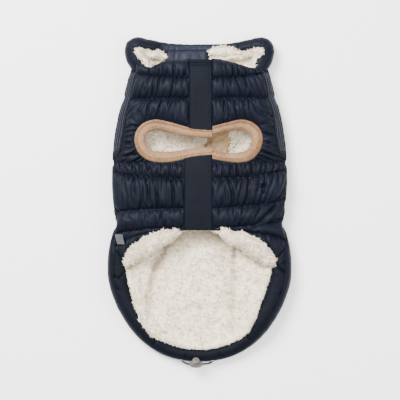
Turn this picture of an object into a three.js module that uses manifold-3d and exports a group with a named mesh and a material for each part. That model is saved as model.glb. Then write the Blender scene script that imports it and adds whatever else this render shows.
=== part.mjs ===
// A dog winter coat lying on its back, belly side up: a quilted shell over fleece, in millimetres.
// +X is to the right of the coat as it lies, +Y runs towards the collar and +Z points up.
import * as THREE from "three";
import Module from "manifold-3d";
import { mergeVertices } from "three/addons/utils/BufferGeometryUtils.js";

// Driving dimensions
const seamGap = 0.4; // clearance between two pieces along a seam
const layerGap = 0.3; // clearance between a flat shell and its lining
const archGap = 0.95; // the same under the belly's arch
const liningInset = 1.2; // how far a lining's edge stays behind the seam of its shell
const backWall = 4.5; // padded back, from the surface that it lies on
const bellyWall = 2.6; // belly shell at a stitch line, before the quilting swells it
const liningWall = 3.5; // fleece
const neckY = 157; // neck seam of the back
const tailY = -190.4; // middle of the rear hem
const sideRadius = 11.5; // roundness of the coat's sides, seen from the end
const rearRadius = 12; // the same at the hips
const tailRadius = 8; // the same at the middle of the rear hem
const crownPower = 0.375; // how square the belly's arch is, seen from the end
const placketRight = 15; // free edge of the closure strip
const placketLeftUpper = -12.6;
const placketLeftLower = -18;
const openingMiddleY = 73; // centre line of the leg openings
const hemCornerY = -71; // where the belly hem meets the rear hem
const ribBand = { end: 10, side: 12.5, rise: 1.4 };

// Half width of the coat and height of the belly's crown, from the collar to the hips
const bodyStations = [
  { y: 178, half: 88, crown: 31 },
  { y: 166, half: 85, crown: 34 },
  { y: 157, half: 81, crown: 35.5 },
  { y: 146, half: 84.5, crown: 36.5 },
  { y: 126, half: 89.6, crown: 36 },
  { y: 98, half: 97.2, crown: 35.5 },
  { y: 62, half: 102.6, crown: 36 },
  { y: 26, half: 103.8, crown: 38 },
  { y: -8, half: 101.6, crown: 37 },
  { y: -26, half: 99.2, crown: 35.5 },
  { y: -40, half: 104, crown: 33.5 },
  { y: -58, half: 108, crown: 31 },
  { y: -76, half: 109.2, crown: 29 },
  { y: -94, half: 108, crown: 27 },
  { y: -118, half: 100.8, crown: 25 },
];
// The rear outline behind the hips, to the middle of the tail
const tailStations = [
  { y: -136, half: 91.6 },
  { y: -154, half: 79.2 },
  { y: -170, half: 63 },
  { y: -182, half: 43.5 },
  { y: -188.4, half: 22 },
];
// The collar's outline: out to the lobe, over it and down to the dip at the nape; radius is the fold's roundness
const collarStations = [
  { x: -81.5, y: 157.4, radius: 11.5, inner: 78 },
  { x: -87.2, y: 168, radius: 12, inner: 80 },
  { x: -89.4, y: 180, radius: 12, inner: 86 },
  { x: -86, y: 191, radius: 11, inner: 84 },
  { x: -75, y: 196.6, radius: 11, inner: 91 },
  { x: -60, y: 194.2, radius: 10, inner: 102 },
  { x: -38, y: 190, radius: 8, inner: 135 },
  { x: 0, y: 188.6, radius: 7, inner: 145 },
];
// Outer edge of the belly shell, as a share of the way from the middle to the side
const shellEdge = [
  { y: 178, share: 0.7 },
  { y: 68, share: 0.7 },
  { y: 57, share: 0.74 },
  { y: 47, share: 0.885 },
  { y: -26, share: 0.885 },
  { y: -38, share: 0.86 },
  { y: -50, share: 0.8 },
  { y: -60, share: 0.72 },
  { y: -71, share: 0.62 },
  { y: -100, share: 0.6 },
];
// Stitch lines across the belly: their height at the middle and at each side, and the swell of the row below
const bellyRows = [
  { middle: 149.4, left: 154.5, right: 154.5, swell: 3.6 },
  { middle: 126, left: 125.5, right: 126.5, swell: 3.8 },
  { middle: 100, left: 101, right: 102, swell: 3.2 },
  { middle: 73, left: 75, right: 73, swell: 3.2 },
  { middle: 46, left: 47, right: 48, swell: 2.6 },
  { middle: 27.6, left: 36, right: 39.6, swell: 4.8 },
  { middle: -7, left: -13, right: 6, swell: 4.6 },
  { middle: -28, left: -35, right: -20, swell: 2.8 },
  { middle: -31.4, left: -54, right: -46, swell: 2 },
];
// The belly hem: an arch that drops to the hem corners
const hemArch = [
  { x: 0, y: -33 },
  { x: 45, y: -35 },
  { x: 62, y: -40 },
  { x: 72, y: -45.5 },
  { x: 80, y: -54 },
  { x: 86, y: -62.5 },
  { x: 91, y: hemCornerY },
  { x: 110, y: hemCornerY - 6 },
];
// How far the fleece rolls out past the belly hem
const hemRoll = [
  { x: 0, reach: 0.6 },
  { x: 20, reach: 1.2 },
  { x: 30, reach: 6 },
  { x: 40, reach: 15 },
  { x: 54, reach: 21 },
  { x: 66, reach: 21 },
  { x: 78, reach: 14 },
  { x: 85, reach: 6 },
  { x: 90, reach: 1 },
];
// Top edge of the belly side of the collar
const frontCollarEdge = [
  { x: -90, y: 165 },
  { x: -71, y: 165.6 },
  { x: -59, y: 160.6 },
  { x: -40, y: 168 },
  { x: -20, y: 171.5 },
  { x: 6, y: 173.5 },
  { x: 30, y: 168 },
  { x: 55, y: 160 },
  { x: 70, y: 162.5 },
  { x: 90, y: 164 },
];
// Outer edge of the rib bands of the two leg openings, from the closure round the lobe and back
const leftLobe = [
  { x: placketRight - 0.2, y: 86.5 },
  { x: -10, y: 89 },
  { x: -34, y: 96 },
  { x: -54, y: 99.5 },
  { x: -69, y: 94 },
  { x: -77, y: 84 },
  { x: -78.8, y: 72 },
  { x: -74, y: 59 },
  { x: -63, y: 50 },
  { x: -46, y: 46.8 },
  { x: -28, y: 48.6 },
  { x: -8, y: 53 },
  { x: placketRight - 0.2, y: 55.5 },
];
const rightLobe = [
  { x: placketRight + 0.2, y: 90.8 },
  { x: 32, y: 95.5 },
  { x: 51, y: 99.6 },
  { x: 65, y: 95.5 },
  { x: 74, y: 86 },
  { x: 76.4, y: 73 },
  { x: 72, y: 59.5 },
  { x: 62, y: 50 },
  { x: 48, y: 46.8 },
  { x: 32, y: 48 },
  { x: placketRight + 0.2, y: 51 },
];
const sideSeams = [126, 100, 73, 46, 37, -5, -40, -64, -94, -122]; // where the back's quilting dips at the sides

// Cord lock and its place on the rear hem
const lock = { x: -4.2, width: 16.4, thick: 8, length: 7.6, bore: 2.9, stem: 2.6, headRadius: 4.2, headThick: 2.2 };
const plungerTravel = 2;
const cordRadius = 1.2;
const eyelets = [
  { name: "hem_eyelet_left", x: -19.8 },
  { name: "hem_eyelet_right", x: 13.8 },
];

const halfTurn = Math.PI / 2;
const { lerp, clamp, degToRad, smoothstep } = THREE.MathUtils;
const vec = (x, y, z) => new THREE.Vector3(x, y, z);

// Reads a column of a table at a place, as a smooth curve that never overshoots its rows.
function readTable(rows, key, place, column) {
  const ordered = rows[0][key] <= rows.at(-1)[key] ? rows : [...rows].reverse();
  const at = clamp(place, ordered[0][key], ordered.at(-1)[key]);
  let i = 0;
  while (i < ordered.length - 2 && at > ordered[i + 1][key]) i += 1;
  const slope = (k) => {
    const a = ordered[clamp(k, 0, ordered.length - 2)];
    const b = ordered[clamp(k, 0, ordered.length - 2) + 1];
    return (b[column] - a[column]) / (b[key] - a[key]);
  };
  const tangent = (k) => {
    const before = slope(k - 1);
    const after = slope(k);
    return before * after <= 0 ? 0 : (2 * before * after) / (before + after);
  };
  const step = ordered[i + 1][key] - ordered[i][key];
  const f = (at - ordered[i][key]) / step;
  const f2 = f * f;
  const f3 = f2 * f;
  return (
    (2 * f3 - 3 * f2 + 1) * ordered[i][column] +
    (f3 - 2 * f2 + f) * step * tangent(i) +
    (3 * f2 - 2 * f3) * ordered[i + 1][column] +
    (f3 - f2) * step * tangent(i + 1)
  );
}

// Adds the two triangles of each cell of a grid of points.
function addGrid(faces, grid) {
  for (let i = 0; i + 1 < grid.length; i += 1) {
    for (let j = 0; j + 1 < grid[i].length; j += 1) {
      faces.push([grid[i][j], grid[i + 1][j], grid[i + 1][j + 1]]);
      faces.push([grid[i][j], grid[i + 1][j + 1], grid[i][j + 1]]);
    }
  }
}

// Joins two rows of points of any lengths with a band of triangles.
function addStrip(faces, a, b) {
  let i = 0;
  let j = 0;
  while (i < a.length - 1 || j < b.length - 1) {
    const stepA = (i + 1) / (a.length - 1);
    const stepB = (j + 1) / (b.length - 1);
    if (j === b.length - 1 || (i < a.length - 1 && stepA <= stepB)) {
      faces.push([a[i], a[i + 1], b[j]]);
      i += 1;
    } else {
      faces.push([a[i], b[j + 1], b[j]]);
      j += 1;
    }
  }
}

// Turns every face the way its neighbours turn, by walking from face to face over shared edges.
function turnAlike(triangles) {
  const owners = new Map();
  const edgeKey = (a, b) => (a < b ? `${a},${b}` : `${b},${a}`);
  triangles.forEach((t, f) => {
    for (let k = 0; k < 3; k += 1) {
      const key = edgeKey(t[k], t[(k + 1) % 3]);
      if (!owners.has(key)) owners.set(key, []);
      owners.get(key).push(f);
    }
  });
  const runs = (t, a, b) => t.some((v, k) => v === a && t[(k + 1) % 3] === b);
  const seen = new Set([0]);
  const queue = [0];
  while (queue.length > 0) {
    const t = triangles[queue.pop()];
    for (let k = 0; k < 3; k += 1) {
      const a = t[k];
      const b = t[(k + 1) % 3];
      for (const g of owners.get(edgeKey(a, b))) {
        if (seen.has(g)) continue;
        seen.add(g);
        if (runs(triangles[g], a, b)) triangles[g].reverse();
        queue.push(g);
      }
    }
  }
}

// One closed body from loose faces: shared points welded, faces pointing out.
function closedGeometry(faces) {
  const index = new Map();
  const points = [];
  const pointIndex = (p) => {
    const key = [p.x, p.y, p.z].map((v) => Math.round(v * 1000)).join(" ");
    if (!index.has(key)) {
      index.set(key, points.length);
      points.push(p);
    }
    return index.get(key);
  };
  const triangles = faces
    .map((face) => face.map(pointIndex))
    .filter(([a, b, c]) => a !== b && b !== c && c !== a);
  turnAlike(triangles);
  let volume = 0;
  for (const [a, b, c] of triangles) {
    volume += points[a].dot(points[b].clone().cross(points[c]));
  }
  if (volume < 0) triangles.forEach((t) => t.reverse());
  const geometry = new THREE.BufferGeometry();
  geometry.setAttribute("position", new THREE.Float32BufferAttribute(points.flatMap((p) => p.toArray()), 3));
  geometry.setIndex(triangles.flat());
  return geometry;
}

// A wall between an outer and an inner grid. A folded grid meets its own mirror along its first column.
function wall(outer, inner, folded = false) {
  const faces = [];
  addGrid(faces, outer);
  addGrid(faces, inner);
  addStrip(faces, outer[0], inner[0]);
  addStrip(faces, outer.at(-1), inner.at(-1));
  addStrip(faces, outer.map((row) => row.at(-1)), inner.map((row) => row.at(-1)));
  if (!folded) addStrip(faces, outer.map((row) => row[0]), inner.map((row) => row[0]));
  return closedGeometry(faces);
}

const wasm = await Module();
wasm.setup();

function toSolid(geometry) {
  const bare = geometry.clone();
  bare.deleteAttribute("normal");
  bare.deleteAttribute("uv");
  const merged = mergeVertices(bare, 1e-4);
  return new wasm.Manifold(
    new wasm.Mesh({
      numProp: 3,
      vertProperties: new Float32Array(merged.attributes.position.array),
      triVerts: new Uint32Array(merged.index.array),
    }),
  );
}

function fromSolid(solid) {
  const { vertProperties, triVerts } = solid.getMesh();
  const geometry = new THREE.BufferGeometry();
  geometry.setAttribute("position", new THREE.BufferAttribute(new Float32Array(vertProperties), 3));
  geometry.setIndex(new THREE.BufferAttribute(new Uint32Array(triVerts), 1));
  return geometry;
}

function cutAway(geometry, tool) {
  return fromSolid(toSolid(geometry).subtract(toSolid(tool)));
}

// The belly's arch: half width, crown and a point on it, lifted along its normal
const halfWidth = (y) => readTable(bodyStations, "y", y, "half");
const crown = (y) => readTable(bodyStations, "y", y, "crown");

function archHeight(x, y) {
  const share = clamp(x / halfWidth(y), -1, 1);
  return sideRadius + (crown(y) - sideRadius) * (1 - share * share) ** crownPower;
}

function archPoint(y, angle, lift = 0) {
  const place = (yy, a) => {
    const height = sideRadius + (crown(yy) - sideRadius) * Math.max(Math.cos(a), 0) ** (2 * crownPower);
    return vec(halfWidth(yy) * Math.sin(a), yy, height);
  };
  const step = 0.01;
  const across = place(y, Math.min(angle + step, halfTurn)).sub(place(y, Math.max(angle - step, -halfTurn)));
  const along = place(y + 0.5, angle).sub(place(y - 0.5, angle));
  const normal = across.cross(along).normalize();
  return place(y, angle).addScaledVector(normal, lift);
}

// The angle that is a given distance round the arch from another
function stepAngle(y, angle, distance) {
  const reach = archPoint(y, angle + 0.01).distanceTo(archPoint(y, angle));
  return angle + (0.01 * distance) / reach;
}

const edgeAngle = (y) => readTable(shellEdge, "y", y, "share") * halfTurn;
const seamAngle = (y) => (y > 47 ? 0.885 * halfTurn : edgeAngle(y));
const angleAt = (x, y) => Math.asin(clamp(x / halfWidth(y), -1, 1));

// Inner border of the belly panels, beside the closure strip
function innerX(y, side) {
  if (side > 0) return placketRight + seamGap;
  const turn = smoothstep(y, openingMiddleY - 12, openingMiddleY + 12);
  return lerp(placketLeftLower, placketLeftUpper, turn) - seamGap;
}

// Height of a stitch line or edge at a share of the way out to the side
function rowY(row, share, side) {
  if (row < bellyRows.length) {
    const line = bellyRows[row];
    return lerp(line.middle, side < 0 ? line.left : line.right, share ** 1.6);
  }
  let low = hemCornerY - 6;
  let high = hemArch[0].y;
  for (let pass = 0; pass < 20; pass += 1) {
    const y = (low + high) / 2;
    const angle = lerp(Math.abs(angleAt(innerX(y, side), y)), edgeAngle(y), share);
    if (y > readTable(hemArch, "x", halfWidth(y) * Math.sin(angle), "y")) high = y;
    else low = y;
  }
  return (low + high) / 2;
}

function bellyPlace(row, part, share, side, edge = edgeAngle) {
  const y = lerp(rowY(row, share, side), rowY(Math.min(row + 1, bellyRows.length), share, side), part);
  const angle = side * lerp(Math.abs(angleAt(innerX(y, side), y)), edge(y), share);
  return { y, angle };
}

// Swell of the quilting: each row puffs up between its stitch lines and gathers run along it
const gathersPerRow = 8;
function quiltLift(row, part, share, side) {
  const swell = bellyRows[row].swell;
  const puff = Math.sin(Math.PI * part) ** 0.6;
  const drift = row * 1.7 + side * 0.9;
  const gather = Math.cos(2 * Math.PI * gathersPerRow * share + drift + 0.8 * Math.sin(5 * share + row));
  const edgeFade = smoothstep(1 - share, 0, 0.08);
  return (swell * puff * (0.86 + 0.2 * gather) + 0.45 * (1 + gather) * (1 - puff)) * (0.35 + 0.65 * edgeFade);
}

const quiltParts = [0, 0.26, 0.74];
const bellyColumns = gathersPerRow * 3;
const plainColumns = 8;
const plainShare = (c) => 1 - (1 - c / plainColumns) ** 1.5; // closer together where the arch turns down

function bellyShell(side) {
  const outer = [];
  const inner = [];
  for (let row = 0; row < bellyRows.length; row += 1) {
    const last = row === bellyRows.length - 1;
    for (const part of last ? [...quiltParts, 1] : quiltParts) {
      const line = [];
      for (let c = 0; c <= bellyColumns; c += 1) {
        const share = c / bellyColumns;
        const { y, angle } = bellyPlace(row, part, share, side);
        line.push(archPoint(y, angle, quiltLift(row, part, share, side)));
      }
      outer.push(line);
    }
    for (const part of last ? [0, 0.5, 1] : [0, 0.5]) {
      inner.push(plainLine(row, part, side, -bellyWall, edgeAngle));
    }
  }
  return wall(outer, inner);
}

function plainLine(row, part, side, lift, edge) {
  const line = [];
  for (let c = 0; c <= plainColumns; c += 1) {
    const { y, angle } = bellyPlace(row, part, plainShare(c), side, edge);
    line.push(archPoint(y, angle, lift));
  }
  return line;
}

// Fleece under the belly and the front of the collar, rolled out past the belly hem
const collarSideInset = { shell: 11.2, lining: 16.5 };
const frontCollarAngle = (y, layer = "lining") => angleAt(halfWidth(y) - collarSideInset[layer], y);
function liningAngle(y) {
  const turn = smoothstep(y, 132, 154);
  return lerp(stepAngle(y, seamAngle(y), -liningInset), frontCollarAngle(y), turn);
}

function bellyLining(side) {
  const top = -(bellyWall + archGap);
  const bottom = top - liningWall;
  const upper = [];
  const lower = [];
  for (const part of [0, 0.5]) {
    upper.push(collarLine(part, side, top, plainColumns));
    lower.push(collarLine(part, side, bottom, plainColumns));
  }
  for (let row = 0; row < bellyRows.length; row += 1) {
    for (const part of row === bellyRows.length - 1 ? [0, 0.5, 1] : [0, 0.5]) {
      upper.push(plainLine(row, part, side, top, liningAngle));
      lower.push(plainLine(row, part, side, bottom, liningAngle));
    }
  }
  const roll = [
    { out: 0.14, top: -0.4, bottom: -7 },
    { out: 0.45, top: 1.4, bottom: -7.4 },
    { out: 0.8, top: 0.4, bottom: -7 },
    { out: 1, top: -2.2, bottom: -5 },
  ];
  for (const step of roll) {
    const rows = [[], []];
    for (let c = 0; c <= plainColumns; c += 1) {
      const share = plainShare(c);
      const hem = bellyPlace(bellyRows.length, 0, share, side, liningAngle);
      const reach = readTable(hemRoll, "x", Math.abs(archPoint(hem.y, hem.angle).x), "reach");
      const y = hem.y - 0.6 - reach * step.out;
      const angle = angleAt(archPoint(hem.y, hem.angle).x, y);
      const flat = smoothstep(reach, 0.6, 10);
      rows[0].push(archPoint(y, angle, lerp(top, step.top, flat)));
      rows[1].push(archPoint(y, angle, lerp(bottom, step.bottom, flat)));
    }
    upper.push(rows[0]);
    lower.push(rows[1]);
  }
  return wall(upper, lower);
}

// One line across the front of the collar; part 0 is its top edge and 1 the neck seam
function collarLine(part, side, lift, columns, swell = 0) {
  const line = [];
  const layer = lift < -bellyWall ? "lining" : "shell";
  for (let c = 0; c <= columns; c += 1) {
    const share = c / columns;
    const seamY = rowY(0, share, side) + seamGap;
    const outX = lerp(Math.abs(innerX(seamY, side)), halfWidth(seamY) - collarSideInset[layer], share);
    const edgeY = readTable(frontCollarEdge, "x", side * outX, "y") - (layer === "lining" ? 1.5 : 0);
    const y = lerp(edgeY, seamY, part);
    const angle = side * lerp(Math.abs(angleAt(innerX(y, side), y)), frontCollarAngle(y, layer), share);
    const fold = Math.cos(2 * Math.PI * 7 * (share + 0.1 * part) + side);
    const puff = Math.sin(Math.PI * clamp(part, 0.06, 0.97)) ** 0.6 * (0.85 + 0.22 * fold);
    line.push(archPoint(y, angle, lift + swell * puff));
  }
  return line;
}

function frontCollar(side) {
  const outer = [0, 0.2, 0.5, 0.8, 1].map((part) => collarLine(part, side, 0.2, 21, 4));
  const inner = [0.04, 0.5, 1].map((part) => collarLine(part, side, -bellyWall + 0.01, plainColumns));
  return wall(outer, inner);
}

// Closure strips: smooth, flat and a little proud, cut later by the leg openings
function placket(fromY, toY, leftX, rows) {
  const outer = [];
  const inner = [];
  for (let r = 0; r <= rows; r += 1) {
    const y = lerp(fromY, toY, r / rows);
    const line = (lifts, xs) => xs.map((x, k) => archPoint(y, angleAt(x, y), lifts[k]));
    const inset = 1.2;
    const xs = [leftX, leftX + inset, (leftX + placketRight) / 2, placketRight - inset, placketRight];
    outer.push(line([1.2, 2.6, 2.9, 2.6, 1.4], xs));
    inner.push(line([-bellyWall, -bellyWall], [leftX, placketRight]));
  }
  return wall(outer, inner);
}

// A curve through the points of a lobe, and points along it with their inward normals
function lobeFrames(rows, count) {
  const curve = new THREE.CatmullRomCurve3(rows.map((row) => vec(row.x, row.y, 0)), false, "centripetal");
  const frames = [];
  for (let i = 0; i <= count; i += 1) {
    const tangent = curve.getTangentAt(i / count);
    const inward = vec(-tangent.y, tangent.x, 0);
    if (i === 0 || i === count) inward.set(0, Math.sign(inward.y), 0);
    frames.push({ at: curve.getPointAt(i / count), inward: inward.normalize(), along: i / count });
  }
  const towardMiddle = frames[0].inward.y < 0 ? 1 : -1;
  frames.forEach((frame) => frame.inward.multiplyScalar(towardMiddle));
  return frames;
}

// Rib band of one leg opening: knit ribs run across it, and its free edge sinks into the opening
function legRib(rows, side) {
  const ribs = 44;
  const outerAcross = [
    { out: 0, lift: 0.6 },
    { out: 0.22, lift: 2 },
    { out: 0.65, lift: 1.2 },
    { out: 1, lift: -1.8 },
  ];
  const innerAcross = [
    { out: 0, lift: -2.2 },
    { out: 0.5, lift: -2.2 },
    { out: 1, lift: -3.6 },
  ];
  const bandPoint = (frame, { out, lift }, extra) => {
    const nearEnd = smoothstep(Math.min(frame.along, 1 - frame.along), 0.05, 0.3);
    const width = lerp(ribBand.end, ribBand.side, nearEnd);
    const place = frame.at.clone().addScaledVector(frame.inward, width * out);
    const lapped = side < 0 ? 0.8 * (1 - smoothstep(Math.min(frame.along, 1 - frame.along), 0.02, 0.12)) : 0;
    return vec(place.x, place.y, archHeight(place.x, place.y) + lift + extra + lapped);
  };
  const ridge = (i) => (i % 2 === 0 ? ribBand.rise * 0.4 : 0);
  const outer = lobeFrames(rows, ribs * 2).map((frame, i) => outerAcross.map((at) => bandPoint(frame, at, ridge(i))));
  const inner = lobeFrames(rows, 30).map((frame) => innerAcross.map((at) => bandPoint(frame, at, 0)));
  return wall(outer, inner);
}

// The upright cutter of both leg openings, just outside the rib bands
function legCutter() {
  const left = lobeFrames(leftLobe, 40);
  const right = lobeFrames(rightLobe, 36).reverse();
  const rim = [...left, ...right].map((frame) => frame.at.clone().addScaledVector(frame.inward, -seamGap));
  const shape = new THREE.Shape(rim.map((p) => new THREE.Vector2(p.x, p.y)));
  return new THREE.ExtrudeGeometry(shape, { depth: 60, bevelEnabled: false });
}

// Navy rib gusset along one side, its ribs running lengthwise
function sideRib(side) {
  const ridges = 5;
  const outer = [];
  const inner = [];
  const rows = 13;
  for (let r = 0; r <= rows; r += 1) {
    const y = lerp(154, 50.5, r / rows);
    const from = stepAngle(y, edgeAngle(y), seamGap * (y < 76 ? 3 : 1));
    const line = [];
    for (let c = 0; c <= ridges * 2; c += 1) {
      const angle = lerp(from, seamAngle(y), c / (ridges * 2));
      line.push(archPoint(y, side * angle, c % 2 === 1 ? 1 : 0.3));
    }
    outer.push(line);
    inner.push([from, seamAngle(y)].map((angle) => archPoint(y, side * angle, -2)));
  }
  return wall(outer, inner);
}

// Frames along a mirrored outline: a point, its inward normal and how far along it is
function outlineFrames(half, count, turn) {
  const mirrored = half.slice(0, -1).map((p) => vec(-p.x, p.y, 0)).reverse();
  const curve = new THREE.CatmullRomCurve3([...half, ...mirrored], false, "centripetal");
  const frames = [];
  for (let i = 0; i <= count; i += 1) {
    const at = curve.getPointAt((0.5 * i) / count);
    const tangent = curve.getTangentAt((0.5 * i) / count);
    const inward = vec(-tangent.y, tangent.x, 0).multiplyScalar(turn);
    frames.push({ at, inward: inward.normalize(), along: i / count });
  }
  frames[count].at.x = 0;
  frames[count].inward.set(0, Math.sign(-frames[count].at.y), 0);
  return frames;
}

function mirrorFrames(frames) {
  const flipped = frames.slice(0, -1).reverse();
  const mirrored = flipped.map(({ at, inward, ...rest }) => ({
    ...rest,
    at: vec(-at.x, at.y, 0),
    inward: vec(-inward.x, inward.y, 0),
  }));
  return [...frames, ...mirrored];
}

// A point on a rim: in from the outline and up from the surface
function rimPoint(frame, inset, height) {
  return frame.at.clone().addScaledVector(frame.inward, inset).setZ(height);
}

// A point on the round fold of a rim; 0 degrees is the outline, 90 the top and -90 the surface
function foldPoint(frame, degrees, depth = 0) {
  const angle = degToRad(degrees);
  const reach = frame.radius - depth;
  return rimPoint(frame, frame.radius - reach * Math.cos(angle), frame.radius + reach * Math.sin(angle));
}

function backFrames(count, fromY = neckY) {
  const half = bodyStations.filter((row) => row.y <= neckY).map((row) => vec(-row.half, row.y, 0));
  tailStations.forEach((row) => half.push(vec(-row.half, row.y, 0)));
  half.push(vec(0, tailY, 0));
  const frames = outlineFrames(half, count, 1).filter((frame) => frame.at.y <= fromY + 0.01);
  frames.forEach((frame) => {
    const square = smoothstep(frame.at.y, 135, neckY);
    frame.inward.lerp(vec(1, 0, 0), square).normalize();
    const rear = smoothstep(-frame.at.y, 30, 70);
    const tail = smoothstep(-frame.at.y, 150, 189);
    frame.radius = lerp(lerp(sideRadius, rearRadius, rear), tailRadius, tail);
  });
  return mirrorFrames(frames);
}

const backSteps = 46; // steps along each half of the back's outline
const hemSeam = 65; // degrees up the fold where the hem casing begins
const casingStartY = -56;

// Top edge of the back panel: the side seam beside the belly, then the hem seam round the rear
function backTop(frame, depth, gap = seamGap * 2) {
  const side = Math.sign(frame.at.x) || 1;
  const y = Math.max(frame.at.y, -68);
  const seam = archPoint(y, side * stepAngle(y, seamAngle(y), gap), -depth);
  const hem = foldPoint(frame, hemSeam, depth);
  return seam.lerp(hem, smoothstep(-frame.at.y, 50, 60));
}

const spineEndY = -118;
const spine = (frame, height) => vec(0, Math.max(frame.at.y, spineEndY), height);

function sideDip(frame) {
  const near = sideSeams.map((y) => Math.exp(-(((frame.at.y - y) / 4.5) ** 2)));
  return 1.5 * Math.max(...near);
}

function backShell() {
  const frames = backFrames(backSteps);
  const outer = frames.map((frame) => {
    const dip = sideDip(frame);
    const high = lerp(13, 28, smoothstep(-frame.at.y, 40, 60));
    return [
      spine(frame, 0),
      foldPoint(frame, -90),
      foldPoint(frame, -55, dip * 0.4),
      foldPoint(frame, -22, dip),
      foldPoint(frame, high, dip),
      backTop(frame, dip * 0.5),
    ];
  });
  const inner = frames.map((frame) => [
    spine(frame, backWall),
    foldPoint(frame, -90, backWall),
    foldPoint(frame, -40, backWall),
    foldPoint(frame, 5, backWall),
    backTop(frame, backWall),
  ]);
  return wall(outer, inner, true);
}

// Degrees up the fold where the hem casing ends: under the belly's edge first, then at the fleece
function casingInner(frame) {
  const y = Math.max(frame.at.y, hemCornerY);
  const bellyX = halfWidth(y) * Math.sin(edgeAngle(y));
  const inset = halfWidth(y) - bellyX - seamGap * 1.5;
  const beside = THREE.MathUtils.radToDeg(Math.acos(clamp(1 - inset / frame.radius, -1, 1)));
  return lerp(beside, 152, smoothstep(-frame.at.y, -hemCornerY + 3, -hemCornerY + 14));
}

// Elastic hem casing round the rear, ruched along its length
function hemCasing() {
  const wallDepth = 3;
  const from = hemSeam + 2.2;
  const point = (frame, part, depth) => {
    return foldPoint(frame, lerp(from, Math.max(casingInner(frame), from + 4), part), depth);
  };
  const frames = backFrames(backSteps * 2, casingStartY);
  const outer = frames.map((frame, i) => {
    const ruche = 0.5 + 0.5 * Math.cos((Math.PI * i) / 2 + 0.4 * Math.sin(i * 0.3));
    return [0, 0.25, 0.6, 1].map((part) => point(frame, part, -0.2 - ruche * (part < 1 ? 0.8 : 0.3)));
  });
  const inner = backFrames(backSteps, casingStartY).map((frame) => [0, 0.5, 1].map((part) => point(frame, part, wallDepth)));
  return wall(outer, inner);
}

// Fleece of the back: the floor of the coat, rising to the seams at its sides and to the rear hem
function backLining() {
  const low = backWall + layerGap;
  const high = low + liningWall;
  const frames = backFrames(backSteps);
  const row = (frame, depth, lifts) => {
    const rear = smoothstep(-frame.at.y, 62, 84);
    const fold = foldPoint(frame, 152);
    const inset = fold.clone().sub(frame.at).setZ(0).length();
    const body = [
      foldPoint(frame, -90, depth),
      foldPoint(frame, -45, depth),
      foldPoint(frame, 0, depth),
      backTop(frame, depth + 0.5, liningInset * 2),
    ];
    return [
      spine(frame, depth),
      ...lifts.map((at, k) => {
        const height = Math.max(fold.z + at.z, depth);
        return body[k].lerp(rimPoint(frame, inset + at.inset, height), rear);
      }),
    ];
  };
  const outer = frames.map((frame) =>
    row(frame, low, [
      { inset: 12, z: -20 },
      { inset: 5, z: -9.5 },
      { inset: 1.6, z: -6.2 },
      { inset: -0.9, z: -3.4 },
    ]),
  );
  const inner = frames.map((frame) =>
    row(frame, high, [
      { inset: 15, z: -20 },
      { inset: 9.5, z: -7 },
      { inset: 5, z: -2.6 },
      { inset: 1.6, z: 0.2 },
    ]),
  );
  return wall(outer, inner, true);
}

function collarFrames(count) {
  const frames = outlineFrames(collarStations.map((row) => vec(row.x, row.y, 0)), count, -1);
  frames.forEach((frame) => {
    const square = 1 - smoothstep(frame.at.y, neckY, neckY + 14);
    if (frame.at.x < -78) frame.inward.lerp(vec(1, 0, 0), square).normalize();
    const onSide = frame.at.y < 180 && frame.at.x < -80;
    const rows = onSide ? collarStations.slice(0, 3) : collarStations.slice(2);
    const key = onSide ? "y" : "x";
    frame.radius = readTable(rows, key, frame.at[key], "radius");
    frame.inner = readTable(rows, key, frame.at[key], "inner");
  });
  return mirrorFrames(frames);
}

const collarSteps = 20; // steps along each half of the collar's outline
const collarSeam = 58; // degrees up the fold where the collar's inner band begins
const collarMiddleY = 158;
const collarSpine = (frame, height) => vec(0, clamp(frame.at.y, neckY + seamGap, collarMiddleY), height);

function backCollar() {
  const depth = 4;
  const frames = collarFrames(collarSteps);
  const outer = frames.map((frame, i) => {
    const fold = 0.35 + 0.35 * Math.cos(i * 1.9);
    return [
      collarSpine(frame, 0),
      foldPoint(frame, -90),
      ...[-50, -15, 20].map((a) => foldPoint(frame, a, fold)),
      foldPoint(frame, collarSeam),
    ];
  });
  const inner = frames.map((frame) => [
    collarSpine(frame, depth),
    ...[-90, -35, 10, collarSeam].map((a) => foldPoint(frame, a, depth)),
  ]);
  return wall(outer, inner, true);
}

// Inner band that turns over the collar's top edge
function collarBand() {
  const from = collarSeam + 2.4;
  const outer = collarFrames(collarSteps * 2).map((frame, i) => {
    const fold = 0.5 + 0.5 * Math.cos((Math.PI * i) / 3 + Math.sin(i * 0.4));
    return [0, 0.3, 0.65, 1].map((part) => foldPoint(frame, lerp(from, frame.inner, part), -0.2 - 0.8 * fold));
  });
  const inner = collarFrames(collarSteps).map((frame) =>
    [0, 0.5, 1].map((part) => foldPoint(frame, lerp(from, frame.inner, part), bellyWall)),
  );
  return wall(outer, inner);
}

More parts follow.
